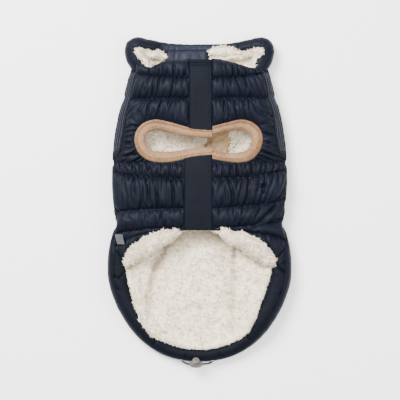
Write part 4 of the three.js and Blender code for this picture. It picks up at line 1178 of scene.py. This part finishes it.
def backFleece():
    d = fleeceLook
    low, high = 4.8, 8.3   # of the fleece's two faces over the surface

    def rowsOf(frames, depth, lifts, steps):
        rear = smooth(-frames["at"][:, 1], 62, 84)[:, None]
        fold = foldPoint(frames, hemLip(frames))
        inset = np.linalg.norm(fold[:, :2] - frames["at"], axis=1)
        body = [foldPoint(frames, -90, depth), foldPoint(frames, -45, depth), foldPoint(frames, 0, depth),
                backTop(frames, depth + 0.5, 2.4)]
        keys = [spine(frames, depth)]
        for place, (extra, down) in zip(body, lifts):
            keys.append(mix(place, rimPoint(frames, inset + extra, np.maximum(fold[:, 2] + down, depth)), rear))
        return spacedLines(np.stack(keys, 1), 1 - (1 - np.linspace(0, 1, steps)) ** 1.15, 3)
    rim = backFrames(d["backFrames"])
    under = rowsOf(backFrames(46), low, [(12, -20), (5, -9.5), (1.6, -6.2), (-0.9, -3.4)], 8)
    top = rowsOf(rim, high, [(15, -20), (9.5, -7), (5, -2.6), (1.6, 0.2)], d["backAcross"])
    fade = np.broadcast_to(smooth(1 - np.linspace(0, 1, d["backAcross"]), -0.02, 0.03), top.shape[:2])
    puffed = fleeceGrid(top, 3, facesUp(top), np.maximum(fade, 0.35))
    rest = mix(0.5, -1.2, smooth(rim["at"][:, 1], -140, -115))
    puffed += raggedRim(puffed, -rim["inward"], 8, 4.6, 131, rest) * smooth(-puffed[..., 1:2], 72, 84)
    x, y = puffed[..., 0], puffed[..., 1]
    wallX = np.interp(y, d["leftWall"]["y"], d["leftWall"]["x"])
    shown = smooth(-y, 40, 60) * smooth(y, -150, -110)
    puffed[..., 2] += 3.6 * smooth(wallX - x, -0.5, 5.0) * shown * smooth(x, -96, -80)
    puffed[..., 2] -= creaseDepth(x, y, d["folds"])
    puffed[:, 0, 0] = 0
    piece = wallPiece("fleece_floor", puffed, under, folded=True, sharp=180)
    dress(piece, "fleece", nodes=["back_lining"])
    paintFleeceShade(piece)
    return piece, puffed


fleeceFloor, floorGrid = backFleece()
print("back fleece made", len(fleeceFloor.data.polygons))


def smoothPiece(name, points, faces):
    mesh = bpy.data.meshes.new(name)
    mesh.from_pydata((points * mm).tolist(), [], faces)
    mesh.shade_smooth()
    piece = bpy.data.objects.new(name, mesh)
    bpy.context.scene.collection.objects.link(piece)
    return piece


# Locks: short bent tufts of pile, three-sided, that fluff a fleece and break its edges
def pileLocks(name, at, direction, seed, length=(1.8, 3.6), width=(0.32, 0.62), curl=0.75):
    rng = np.random.default_rng(seed)
    n = len(at)
    direction = unit(direction)
    side = unit(np.cross(direction, rng.normal(size=(n, 3))))
    other = np.cross(direction, side)
    long = rng.uniform(*length, n)[:, None]
    wide = rng.uniform(*width, n)[:, None]
    bend = curl * rng.uniform(0.3, 1.3, n)[:, None]
    points = []
    for t, share in ((0.0, 1.0), (0.35, 1.05), (0.7, 0.75)):
        middle = at + direction * long * t * (1 - 0.25 * bend * t) + side * long * bend * t**2
        for k in range(3):
            a = 2 * math.pi * k / 3
            points.append(middle + (side * math.cos(a) + other * math.sin(a)) * wide * share)
    points.append(at + direction * long * (1 - 0.25 * bend) + side * long * bend)
    grid = np.stack(points, 1).reshape(-1, 3)
    base = np.arange(n)[:, None] * 10
    faces = []
    for ring in (0, 3):
        for k in range(3):
            j = (k + 1) % 3
            faces += np.hstack([base + ring + k, base + ring + j, base + ring + 3 + j, base + ring + 3 + k]).tolist()
    for k in range(3):
        faces += np.hstack([base + 6 + k, base + 6 + (k + 1) % 3, base + 9]).tolist()
    faces += np.hstack([base + 2, base + 1, base]).tolist()
    return dress(smoothPiece(name, grid, faces), "fleece")


def scatterOn(grid, out, count, seed, lie=0.8, inside=None):
    # random places on a grid of points, each with a direction that leans out of the pile
    rng = np.random.default_rng(seed)
    normals = gridNormals(grid) * out
    a, b = grid[:-1, :-1], grid[1:, 1:]
    size = np.linalg.norm(np.cross(grid[1:, :-1] - a, grid[:-1, 1:] - a), axis=-1)
    if inside is not None:
        size = size * inside((a + b) / 2)
    pick = rng.choice(size.size, count, p=(size / size.sum()).ravel())
    i, j = np.unravel_index(pick, size.shape)
    u, v = rng.random((2, count, 1))
    at = mix(mix(grid[i, j], grid[i + 1, j], u), mix(grid[i, j + 1], grid[i + 1, j + 1], u), v)
    lean = rng.normal(size=(count, 3)) * lie
    return at - normals[i, j] * 0.5, unit(normals[i, j] + lean)


def rimLocks(line, outward, count, seed, spread=0.5):
    # places along an edge, with directions that reach out over it
    rng = np.random.default_rng(seed)
    length = lengthAlong(line)
    s = rng.uniform(0, length[-1], count)
    at, way = readLine(s, length, line), readLine(s, length, outward)
    return at + rng.normal(size=(count, 3)) * [0.5, 0.5, 0.3], unit(way + rng.normal(size=(count, 3)) * spread)


# Fleece of the belly and collar front, rolled out past the belly hem
rollLook = {
    "columns": 72, "steps": 26,
    "upper": -3.55, "lower": -7.05,   # the fleece's two faces under the belly
    "top": {"out": [0, 0.1, 0.3, 0.6, 0.85, 1], "lift": [-1.6, 2.6, 5.0, 5.2, 3.0, -2.6]},
    "bottom": {"out": [0, 0.14, 0.45, 0.8, 1], "lift": [-7.05, -6.4, -5.4, -5.0, -4.6]},
}


def liningAngle(y):
    angle = stepAngle(y, seamAngle(y), -1.2)
    return mix(angle, angleAt(halfWidth(y) - 16.5, y), smooth(y, 132, 154))


def rolledLine(out, shares, side, table, plain):
    y, angle = bellyPlace(len(bellyRows["middle"]), 0, shares, side, liningAngle)
    x = archPoint(y, angle)[:, 0]
    reach = readColumn(hemRoll, "x", "reach", np.abs(x))
    y = y - 0.4 - reach * out
    lift = mix(plain, readColumn(table, "out", "lift", np.array([out]))[0], smooth(reach, 0.6, 10))
    return archPoint(y, angleAt(x, y), lift)


def bellyFleece(side):
    d = rollLook
    name = sideName(side)
    shares = 1 - (1 - np.linspace(0, 1, d["columns"] + 1)) ** 1.4
    upper, lower = [], []
    for part in np.linspace(0, 0.9, 4):
        for grid, lift in ((upper, d["upper"]), (lower, d["lower"])):
            grid.append(collarPoints(np.array([part]), shares, side, "lining", lift)[0])
    for row in range(len(bellyRows["middle"])):
        tall = np.max(np.abs(rowY(row, shares, side) - rowY(row + 1, shares, side)))
        steps = max(2, int(round(tall / 3.0)))
        for k in range(steps):
            y, angle = bellyPlace(row, k / steps, shares, side, liningAngle)
            upper.append(archPoint(y, angle, d["upper"]))
            lower.append(archPoint(y, angle, d["lower"]))
    first = len(upper)
    for k in range(d["steps"] + 1):
        out = math.sin(quarter * k / d["steps"]) ** 1.1
        upper.append(rolledLine(out, shares, side, d["top"], d["upper"]))
        lower.append(rolledLine(out, shares, side, d["bottom"], d["lower"]))
    upper, lower = np.array(upper), np.array(lower)
    reach = readColumn(hemRoll, "x", "reach", np.abs(upper[first, :, 0]))
    hemEdge = (0.3 + 0.9 * rippled(upper[first], 6.0, 141 + side, 3)) * smooth(reach, 0.8, 5)
    tipEdge = (0.2 + 0.9 * rippled(upper[-1], 7.0, 151 + side, 3)) * smooth(reach, 0.8, 5)
    for k in range(first + 1, len(upper)):
        t = (k - first) / (len(upper) - 1 - first)
        upper[k, :, 1] += 2.6 * hemEdge * (1 - smooth(t, 0.0, 0.4)) - 2.2 * tipEdge * smooth(t, 0.5, 0.95)
    out = facesUp(upper)
    fade = np.zeros(upper.shape[:2])
    fade[first:] = 1
    fade[first - 4:first] = np.linspace(0.1, 0.8, 4)[:, None]
    upper = fleeceGrid(upper, 11 + side, out, fade)
    lower = fleeceGrid(lower, 15 + side, -out, fade * 0.8)
    piece = cutWallPiece(f"fleece_belly_{name}", upper, lower, legHole, sharp=180)
    dress(piece, "fleece", nodes=[f"belly_lining_{name}"])
    at, way = scatterOn(upper[first + 1:], out, 1500, 61 + side, 0.9)
    hem = upper[first + 2]
    over = np.gradient(hem, axis=0)
    upward = np.cross(over, [0, 0, 1.0]) * (1 if side < 0 else -1)
    upward = unit(upward * np.sign(upward[:, 1:2] + 1e-6)) + [0, 0, 0.55]
    shown = smooth(readColumn(hemRoll, "x", "reach", np.abs(hem[:, 0])), 1.0, 5.0) > 0.3
    rimAt, rimWay = rimLocks(hem[shown], upward[shown], 340, 71 + side, 0.45)
    tipAt, tipWay = rimLocks(upper[-1][shown], -upward[shown] * [1, 1, 0.3], 340, 81 + side, 0.6)
    places, ways = np.vstack([at, rimAt, tipAt]), np.vstack([way, rimWay, tipWay])
    pileLocks(f"fleece_locks_belly_{name}", places, ways, 91 + side, length=(2.2, 4.6), width=(0.45, 0.85))


for side in (-1, 1):
    bellyFleece(side)


# The floor's own locks, and those that hang over the hem's inner edge
def floorLocks():
    def shown(at):
        rear = (at[..., 1] < -18) & (at[..., 1] > -178) & (np.abs(at[..., 0]) < 92)
        legs = (np.abs(at[..., 1] - 73) < 24) & (np.abs(at[..., 0]) < 72)
        return rear * 1.0 + legs * 0.8 + 0.02
    at, way = scatterOn(floorGrid, facesUp(floorGrid), 6200, 101, 1.0, shown)
    frames = backFrames(300, -66.0)
    edge = foldPoint(frames, hemLip(frames) + 2, -1.2)
    outward = -np.hstack([frames["inward"], 0 * frames["radius"][:, None] - 0.5])
    rimAt, rimWay = rimLocks(edge, outward, 2000, 103, 0.55)
    rimAt[:, :2] -= rimWay[:, :2] * 1.5
    places, ways = np.vstack([at, rimAt]), np.vstack([way, rimWay])
    paintFleeceShade(pileLocks("fleece_locks_floor", places, ways, 105, length=(2.0, 4.8), width=(0.45, 0.8)), 0.8)


floorLocks()
print("fleece locks made")


# Beige facing that lines the lap, seen through the right leg opening
facing = {"fromX": 5.5, "toX": 40.0, "fromY": 98.0, "toY": 46.0, "height": 12.0, "thick": 1.2}


def legFacing():
    d = facing
    y, c = np.meshgrid(np.linspace(d["fromY"], d["toY"], 64), np.linspace(0, 1, 46), indexing="ij")
    ragged = 1.6 * np.sin(y / 5.1) + 1.1 * np.sin(y / 2.3 + 1)
    x = mix(d["fromX"] + 0.8 * ragged, d["toX"] + ragged, c)
    spots = np.stack([x, y, 0 * x], -1).reshape(-1, 3)
    wave = rippled(spots * [1, 0.5, 1], 9.0, 91, 3).reshape(x.shape)
    sunk = 3.0 * (1 - smooth(c, 0.0, 0.12)) + 3.4 * smooth(c, 0.75, 1.0)   # both edges dip into the fleece
    fold = 1.4 * np.exp(-(((c - 0.3) / 0.12) ** 2))
    z = d["height"] - sunk + 1.1 * wave + 1.6 * np.sin(math.pi * c) + fold
    outer = np.stack([x, y, z], -1)
    piece = wallPiece("leg_facing", outer, (outer - [0, 0, d["thick"]])[::7, ::5])
    dress(piece, "facing")
    at, way = rimLocks(outer[:, -4] + [0, 0, 0.4], np.tile([-1.0, 0, 0.35], (len(outer), 1)), 420, 93, 0.6)
    at[:, 0] += np.random.default_rng(94).uniform(-2.5, 4.0, len(at))
    pileLocks("fleece_locks_lap", at, way, 95, length=(2.4, 4.8), width=(0.5, 0.9))


legFacing()


# Collar: its back with two lobes, the band turned in over the edge, and its fleece
collarLook = {
    "frames": 190, "seam": 58.0, "spineTop": 158.0,
    "fleeceFrom": {   # how far in from the outline the fleece begins
        "x": [-90, -79, -66, -57, -50, -46, -39.5, -33.5, 6, 9, 12, 17, 29, 36, 43, 48, 60, 72, 80, 90],
        "inset": [21, 20.5, 14.5, 15, 14, 12.5, 14.5, 40, 40, 18, 9.5, 6.5, 7.2, 8.8, 11.5, 14, 15, 19.5, 21, 21],
    },
    "lobeFrom": {     # the same on the lobes' outer sides
        "y": [156, 162, 168, 174, 180, 188],
        "left": [18, 16.5, 15, 14, 15.5, 20],
        "right": [17, 16, 15.5, 15.5, 17, 20],
    },
    "flap": 16.0,     # the band's turned-in width past the fold, in the middle
    "flapHeight": 16.5,
}


def collarFrames(count):
    at, inward = outlineFrames(np.stack([collarStations["x"], collarStations["y"]], 1).astype(float), count, -1)
    square = (1 - smooth(at[:, 1], cut["neckY"], cut["neckY"] + 14)) * (at[:, 0] < -78)
    inward = unit(mix(inward, np.array([1.0, 0.0]), square[:, None]))
    onSide = (at[:, 1] < 180) & (at[:, 0] < -80)
    low = {key: value[:3] for key, value in collarStations.items()}
    high = {key: value[2:] for key, value in collarStations.items()}
    frames = {"at": at, "inward": inward}
    for key in ("radius", "inner"):
        frames[key] = np.where(onSide, readColumn(low, "y", key, at[:, 1]), readColumn(high, "x", key, at[:, 0]))
    frames = mirrored(frames)
    frames["at"][[0, -1], 1] -= 2.2   # the ends tuck under the neck seam
    return frames


def collarSpine(frames, height):
    y = np.clip(frames["at"][:, 1], cut["neckY"] + 0.4, collarLook["spineTop"])
    return np.stack([0 * y, y, height + 0 * y], 1)


def fleeceEdge(frames):
    # degrees round the fold at which the fleece begins
    x, y = frames["at"][:, 0], frames["at"][:, 1]
    inset = readColumn(collarLook["fleeceFrom"], "x", "inset", x)
    lobe = collarLook["lobeFrom"]
    beside = np.where(x < 0, readColumn(lobe, "y", "left", y), readColumn(lobe, "y", "right", y))
    inset = np.where((np.abs(x) > 80) & (y < 188), beside, inset)
    return np.degrees(np.arccos(np.clip(1 - inset / frames["radius"], -0.9, 1)))


def collarBack():
    d = collarLook
    frames = collarFrames(d["frames"])
    length = lengthAlong(frames["at"])
    columns = [collarSpine(frames, 0), foldPoint(frames, -90)]
    for k in range(1, 13):
        wave = rippled(np.column_stack([length, 0 * length + k * 1.7, 0 * length]), 6.5, 51, 3)
        rise = smooth(k / 12, 0.08, 0.4)
        columns.append(foldPoint(frames, -90 + (90 + d["seam"] + 1.5) * k / 12, rise * (0.3 - 0.45 * wave)))
    coarse = collarFrames(24)
    inner = [collarSpine(coarse, 4)] + [foldPoint(coarse, a, 4) for a in (-90, -35, 10, d["seam"])]
    piece = wallPiece("collar_fold", np.stack(columns, 1), np.stack(inner, 1), folded=True)
    dress(piece, "shell", nodes=["collar_back"])
    return piece


def turnedIn(x):
    # 1 where the band is turned in over the fleece, at the middle of the neck
    return smooth(x, -41, -35) * smooth(-x, -13, -6)


def turnedFrames(frames):
    return turnedIn(frames["at"][:, 0]) * (frames["at"][:, 1] > 170)


def bandEnd(frames):
    # degrees round the fold at which the band ends, or leaves it to hang over the fleece
    plain = np.minimum(np.maximum(frames["inner"], fleeceEdge(frames) + 10), 158)
    return mix(plain, 108, turnedFrames(frames))


def hungBand(frames, part, depth):
    # a line of the turned-in band, at a share of its width past the fold
    d = collarLook
    middle = turnedFrames(frames)
    sink = -0.9 * part * middle - 0.02 * part
    reach = frames["inward"] * (d["flap"] * part * middle)[:, None]
    line = foldPoint(frames, bandEnd(frames), -0.9 + depth) + np.hstack([reach, sink[:, None]])
    line[:, 2] = np.maximum(line[:, 2], mix(line[:, 2], d["flapHeight"] - depth * 0.6, middle))
    return line


def collarBand():
    d = collarLook
    frames = collarFrames(d["frames"] * 2)
    length = lengthAlong(frames["at"])
    rng = np.random.default_rng(77)
    parts = np.linspace(0, 1, 13)
    pleats = np.zeros((len(length), len(parts)))
    s = 4.0
    while s < length[-1]:
        wide, deep, lean = rng.uniform(0.9, 2.2), rng.uniform(0.4, 1.5), rng.normal(0, 3.5)
        along = parts if rng.random() < 0.6 else 1 - parts
        valley = deep * np.clip(1 - along / rng.uniform(0.5, 1.2), 0, 1)
        pleats += valley[None, :] * np.exp(-(((length[:, None] - s - lean * along[None, :]) / wide) ** 2))
        s += rng.uniform(3.0, 11.0)
    pleats = np.minimum(pleats, 1.6)
    columns = []
    for k, part in enumerate(parts):
        wave = rippled(np.column_stack([length, 0 * length + part * 14, 0 * length]), 9.0, 53, 3)
        puff = 0.9 * math.sin(math.pi * min(max(part, 0.04), 0.96)) ** 0.6
        lift = 0.4 + puff * (1 + 0.5 * wave) - pleats[:, k] * 0.7
        columns.append(foldPoint(frames, mix(d["seam"] + 1.0, bandEnd(frames), part), -lift))
    for part in (0.35, 0.7, 1):
        wave = rippled(np.column_stack([length, 0 * length + part * 14 + 20, 0 * length]), 9.0, 53, 3)
        line = hungBand(frames, part, 0)
        line[:, 2] += (0.8 * wave - pleats[:, -1] * 0.5) * turnedFrames(frames)
        columns.append(line)
    coarse = collarFrames(30)
    inner = [foldPoint(coarse, mix(d["seam"] + 2.4, bandEnd(coarse), part), 2.6) for part in (0, 0.5, 1)]
    inner.append(hungBand(coarse, 1, 2.4))
    piece = wallPiece("collar_turned_band", np.stack(columns, 1), np.stack(inner, 1))
    dress(piece, "band", nodes=["collar_band"])
    piece.data.materials.append(finishes["shell"])
    # painted light: the band's middle takes the lighter navy where it faces the lamps, and the darker lobes take the
    # shell's
    for face in piece.data.polygons:   # the lobes' edges are of the shell's nylon
        x, y = face.center[0] / mm, face.center[1] / mm
        face.material_index = int(x < -46 + 0.35 * (190 - y) or x > 44 - 0.2 * (190 - y))
    return piece


def collarFleece():
    d = collarLook

    def rowsOf(frames, depth, steps, over, share):
        begin = fleeceEdge(frames)
        inside = np.maximum(frames["inner"], begin + 4)
        edge = foldPoint(frames, inside)
        inset = np.linalg.norm(edge[:, :2] - frames["at"], axis=1)
        tuck = 3.5 * (1 - smooth(frames["at"][:, 1], 162, 174))
        start = rimPoint(frames, inset, 0)
        toward = collarSpine(frames, 0) - start
        reach = np.linalg.norm(toward, axis=1)
        toward = unit(toward)
        slant = np.maximum((toward[:, :2] * frames["inward"]).sum(1), 0.25)
        keys = [collarSpine(frames, depth)]
        for at in steps:
            height = np.maximum(mix(depth, edge[:, 2] + at[2] - tuck, at[1]), depth)
            step = np.minimum(at[0] / slant, reach * 0.8)
            keys.append(np.hstack([(start + toward * step[:, None])[:, :2], height[:, None]]))
        flat = 1 - 0.9 * turnedFrames(frames)   # it lies flat under the turned-in band
        for part, lift in over:
            keys.append(foldPoint(frames, mix(inside + 5, begin, part), -lift * flat + tuck * 0.8))
        return spacedLines(np.stack(keys, 1), share, 2)
    rim = collarFrames(150)
    top = rowsOf(rim, 7.8, [(14, 0, 0), (8.5, 0.3, -1), (7, 0.8, -0.6), (4.4, 1, 0)],
                 [(0, 1.2), (0.4, 3.0), (0.8, 3.0), (1, 1.6)], 1 - (1 - np.linspace(0, 1, 52)) ** 1.25)
    under = rowsOf(collarFrames(40), 4.3, [(10, 0, 0), (4, 0.3, -2), (3, 0.75, -3.4), (1.6, 1, -3.6)],
                   [(0, 0.3), (1, 1.1)], np.linspace(0, 1, 12))
    out = facesUp(top)
    covered = turnedIn(top[..., 0]) * smooth(top[..., 1], 158, 164)
    puffed = fleeceGrid(top, 23, out, 0.8 - 0.7 * covered)
    puffed[..., 2] -= 1.6 * covered
    corner = smooth(np.abs(rim["at"][:, 0]), 66, 74) * smooth(rim["at"][:, 1], 180, 188)
    puffed += raggedRim(puffed, -rim["inward"], 7, 2.4, 133, 0.5 - 3.4 * corner) * smooth(puffed[..., 1:2], 166, 176)
    puffed[:, 0, 0] = 0
    piece = wallPiece("fleece_collar", puffed, under, folded=True, sharp=180)
    dress(piece, "fleece", nodes=["collar_lining"])
    at, way = scatterOn(puffed, out, 2600, 121, 0.9, lambda p: (turnedIn(p[..., 0]) < 0.3) * (p[..., 1] > 160) * 1.0)
    x, y = rim["at"].T
    outward = -np.hstack([rim["inward"], 0 * rim["radius"][:, None] - 0.4])
    places, ways = [at], [way]
    for seed, part in ((123, (y > 170) & (x < -37)), (124, (y > 170) & (x > 9))):
        at, way = rimLocks(puffed[part, -1], outward[part], 330, seed, 0.5)
        places.append(at)
        ways.append(way)
    pileLocks("fleece_locks_collar", np.vstack(places), np.vstack(ways), 127)


collarBack()
collarBand()
collarFleece()
print("collar made")


# Small parts: label, eyelets, elastic, cord lock and stitches
def latheMesh(name, profile, sides, radii, middle, turn):
    # a profile of shares of the radii and heights, turned round an axis and capped at both ends
    angle = np.linspace(0, 2 * math.pi, sides, endpoint=False)
    rings = [[[r * math.cos(a) * radii[0], y, r * math.sin(a) * radii[1]] for a in angle] for r, y in profile]
    rings = np.array(rings) @ turn.T + middle
    count = len(profile)
    faces = []
    for i in range(count - 1):
        for k in range(sides):
            j = (k + 1) % sides
            faces.append((i * sides + k, i * sides + j, (i + 1) * sides + j, (i + 1) * sides + k))
    faces.append(list(range(sides))[::-1])
    faces.append([(count - 1) * sides + k for k in range(sides)])
    return meshPiece(name, rings.reshape(-1, 3), faces, 35)


lockLook = {
    "x": -4.2, "width": 16.4, "thick": 8.0, "length": 7.6, "lean": 136.0,
    "stem": 2.6, "headRadius": 4.2, "headThick": 2.2, "travel": 2.0, "cordRadius": 1.2,
}


def lockPlace():
    d = lockLook
    lean = math.radians(d["lean"])
    reach = cut["tailRadius"] + 1.6 + d["thick"] / 2
    hem = np.array([d["x"], cut["tailY"] + cut["tailRadius"], cut["tailRadius"]])   # the middle of the hem's fold
    middle = hem + [0, math.cos(lean) * reach, math.sin(lean) * reach]
    axis = np.array([0, math.sin(lean), -math.cos(lean)])
    third = np.cross([1, 0, 0], axis)
    return middle, axis, np.stack([[1, 0, 0], axis, third], 1)


def cordLock():
    d = lockLook
    middle, _, turn = lockPlace()
    half = d["length"] / 2
    bore, floor = 0.385, -half + 1.4
    profile = [
        (0.30, -half), (0.62, -half), (0.80, -half + 0.35), (0.92, -half + 1.1), (0.985, -0.9), (1, 0), (0.985, 1.0),
        (0.93, half - 1.0), (0.84, half - 0.3), (0.72, half), (0.42, half), (bore, half - 0.35), (bore, floor),
        (0.001, floor),
    ]
    barrel = latheMesh("lock_barrel", profile, 64, (d["width"] / 2, d["thick"] / 2), middle, turn)
    dress(barrel, "plastic", nodes=["cord_lock_barrel"])
    shoulder = half + d["travel"] + 0.4
    top = shoulder + d["headThick"]
    foot = -half + 1.2 + d["travel"] + 0.5
    stem, head = d["stem"], d["headRadius"]
    profile = [
        (0.001, foot), (stem - 0.4, foot), (stem, foot + 0.4), (stem, shoulder - 0.2), (stem + 0.4, shoulder),
        (head - 0.3, shoulder), (head, shoulder + 0.3), (head, shoulder + 1.0),
        (head * 0.93, top - 0.65), (head * 0.72, top - 0.25), (head * 0.4, top - 0.06), (0.001, top),
    ]
    plunger = latheMesh("lock_plunger", profile, 48, (1, 1), middle, turn)
    dress(plunger, "plastic", body="plunger", nodes=["cord_lock_plunger"])


cordLock()
for name in ("hem_eyelet_left", "hem_eyelet_right"):
    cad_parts[name].data.materials.clear()
    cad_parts[name].data.materials.append(finishes["metal"])


def hemElastic(name):
    d = lockLook
    low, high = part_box(f"hem_eyelet_{name}")
    seat = (np.array(low) + np.array(high)) / 2 / mm
    side = math.copysign(1, seat[0] - d["x"])
    middle, axis, _ = lockPlace()
    mouth = middle - axis * 0.4
    outward = unit(seat - np.array([seat[0], cut["tailY"] + cut["tailRadius"], cut["tailRadius"]]))
    stops = np.array([
        seat - outward * 0.4,
        seat + outward * 1.4 + [-side * 1.2, 0, 0.2],
        mouth + [side * (d["width"] / 2 + 1.2), 0.3, -0.1],
        mouth + [side * (d["width"] / 2 - 1.3), 0, 0],
    ])
    steps, sides = 40, 14
    path, way = splineThrough(stops, np.linspace(0, 1, steps))
    across = unit(np.cross(way, [0.1, 0.2, 1.0]))
    third = np.cross(way, across)
    rings = []
    for k in range(sides):
        a = 2 * math.pi * k / sides
        braid = d["cordRadius"] - 0.04 + 0.07 * np.cos(np.linspace(0, 26 * math.pi, steps) + 3 * a)
        rings.append(path + (across * math.cos(a) + third * math.sin(a)) * braid[:, None])
    grid = np.stack(rings, 1)
    faces = []
    for i in range(steps - 1):
        low, high = i * sides, (i + 1) * sides
        for k in range(sides):
            j = (k + 1) % sides
            faces.append((low + k, low + j, high + j, high + k))
    faces += [list(range(sides))[::-1], [(steps - 1) * sides + k for k in range(sides)]]
    piece = meshPiece(f"hem_elastic_{name}", grid.reshape(-1, 3), faces)
    dress(piece, "cord", nodes=[f"hem_cord_{name}"])


hemElastic("left")
hemElastic("right")

hipTag = {"x": -92.6, "y": -44.0, "wide": 8.4, "tall": 11.5, "rise": 3.4, "slant": 2.6}


def hipLabel():
    d = hipTag
    r, c = np.meshgrid(np.linspace(0, 1, 25), np.linspace(0, 1, 19), indexing="ij")
    y = d["y"] + d["tall"] * (r - 0.5)
    x = d["x"] + d["wide"] * (c - 0.5) - (r - 0.5) * d["slant"]
    edge = np.minimum(np.minimum(r, 1 - r) * d["tall"], np.minimum(c, 1 - c) * d["wide"])
    groove = 0.16 * np.exp(-(((edge - 1.0) / 0.25) ** 2))
    lift = d["rise"] + 0.25 + 0.5 * smooth(edge, 0, 0.5) - groove + 0.12 * np.sin(r * 5 + c * 2)
    under = archPoint(y, angleAt(x, y), d["rise"])[::8, ::6]
    piece = wallPiece("hip_woven_label", archPoint(y, angleAt(x, y), lift), under)
    dress(piece, "label", nodes=["hip_label"])


hipLabel()


def stitchRow(line, up, gap=2.6, long=1.7, thick=0.16):
    # small capsules laid end to end along a line of points
    length = lengthAlong(line)
    s = np.arange(gap / 2, length[-1] - gap / 2, gap)
    at = readLine(s, length, line)
    way = unit(readLine(s + 0.5, length, line) - at)
    rise = unit(readLine(s, length, up))
    across = unit(np.cross(way, rise))
    points = []
    for t, w, h in ((-0.5, 0.35, -0.1), (-0.3, 1.0, 0.12), (0.3, 1.0, 0.12), (0.5, 0.35, -0.1)):
        for a in range(6):
            c, q = math.cos(a * math.pi / 3), math.sin(a * math.pi / 3)
            points.append(at + way * long * t + across * thick * w * c + rise * (thick * w * q + h))
    grid = np.stack(points, 1)
    base = np.arange(len(s))[:, None] * 24
    faces = []
    for ring in range(3):
        for k in range(6):
            j = (k + 1) % 6
            low, high = base + ring * 6, base + ring * 6 + 6
            faces += np.hstack([low + k, low + j, high + j, high + k]).tolist()
    faces += np.hstack([base + k for k in range(5, -1, -1)]).tolist()
    faces += np.hstack([base + 18 + k for k in range(6)]).tolist()
    return grid.reshape(-1, 3), faces


def stitches(name, rows, finish):
    points, faces = [], []
    start = 0
    for line, up, options in rows:
        p, f = stitchRow(line, up, **options)
        points.append(p)
        faces += [[v + start for v in face] for face in f]
        start += len(p)
    dress(smoothPiece(name, np.vstack(points), faces), finish)


def sewnSeams():
    navy, tan = [], []
    for part in ("upper", "lower"):
        d = closure[part]
        ys = np.linspace(d["fromY"] - 1, d["toY"] + 1, 120)
        for x in (d["leftX"] + closure["stitchInset"], closure["rightX"] - closure["stitchInset"]):
            xs = x + 0 * ys
            line = archPoint(ys, angleAt(xs, ys), closureLift(xs, ys, d["leftX"]) + 0.05)
            clear = outsideDistance(line[:, :2], legHole)[0] > 0.5
            navy.append((line[clear], (line - archPoint(ys, angleAt(xs, ys), 0 * ys - 5))[clear], {}))
    for lobe, side in ((leftLobe, -1), (rightLobe, 1)):
        at, inward, along = lobeFrames(lobe, 200)
        ends = np.minimum(along, 1 - along)
        place = at + inward * 1.5
        high = archHeight(place[:, 0], place[:, 1]) + 1.75 + lapLift(side, ends) + legBand["ribDepth"] * 0.5
        tan.append((np.column_stack([place, high]), np.tile([0, 0, 1.0], (len(at), 1)), {"gap": 2.4, "long": 1.5}))
    # painted highlights: light grey thread lines along the gusset's ribs, where their ridges catch the light
    light = []
    for side in (-1, 1):
        for share in (0.2, 0.45, 0.72):
            ys = np.linspace(gusset["fromY"] - 2, gusset["toY"] + 8, 150)
            angle = side * mix(gussetStart(ys), seamAngle(ys), share + 0.02 * np.sin(ys / 7))
            line = archPoint(ys, angle, 1.25 - 0.7 * gussetPinch(ys))
            light.append((line, line - archPoint(ys, angle, -4 + 0 * ys), {"gap": 2.2, "long": 2.15, "thick": 0.17}))
    frames = backFrames(260, -60.0)
    line = foldPoint(frames, 74.0, -1.15)
    navy.append((line, line - foldPoint(frames, 74.0, 2), {"gap": 3.0, "long": 2.0}))
    stitches("navy_stitches", navy, "navyThread")
    stitches("tan_stitches", tan, "tanThread")
    stitches("gusset_painted_highlights", light, "ribHighlightThread")


sewnSeams()
print("small parts made")

# Set
def areaLight(name, where, size, power):
    # a soft round lamp that faces the coat
    light = bpy.data.lights.new(name, "AREA")
    light.shape = "DISK"
    light.size = size
    light.energy = power
    lamp = bpy.data.objects.new(name, light)
    lamp.location = where
    lamp.rotation_euler = (-Vector(where)).to_track_quat("-Z", "Y").to_euler()
    bpy.context.scene.collection.objects.link(lamp)


studio = {"floorTone": (0.97, 0.97, 0.97), "key": 84.0, "fill": 15.0, "top": 26.0, "world": 1.05}


def studioSet():
    floorMaterial = bpy.data.materials.new("paleFloor")
    floorMaterial.use_nodes = True
    shader = floorMaterial.node_tree.nodes["Principled BSDF"]
    shader.inputs["Base Color"].default_value = (*studio["floorTone"], 1)
    shader.inputs["Roughness"].default_value = 0.9
    bpy.ops.mesh.primitive_plane_add(size=8, location=(0, 0, -0.0004))
    floor = bpy.context.active_object
    floor.name = "studio_floor"
    floor.data.materials.append(floorMaterial)
    areaLight("keyLight", (-0.7, 0.8, 1.3), 0.8, studio["key"])
    areaLight("fillLight", (0.9, -0.2, 1.1), 1.0, studio["fill"])
    areaLight("topLight", (0.0, 0.1, 1.9), 1.2, studio["top"])
    world = bpy.data.worlds.new("softRoom")
    bpy.context.scene.world = world
    world.use_nodes = True
    sky = world.node_tree.nodes["Background"]
    sky.inputs["Color"].default_value = (1, 1, 1, 1)
    sky.inputs["Strength"].default_value = studio["world"]


def overheadCamera():
    camera = bpy.data.cameras.new("overheadCamera")
    camera.sensor_width = 36
    camera.lens = 36 * view["height"] / view["across"]
    eye = bpy.data.objects.new("overheadCamera", camera)
    eye.location = (view["middleX"], view["middleY"], view["height"])
    bpy.context.scene.collection.objects.link(eye)
    bpy.context.scene.camera = eye


studioSet()
overheadCamera()
bpy.context.view_layer.update()
print("coat finished")
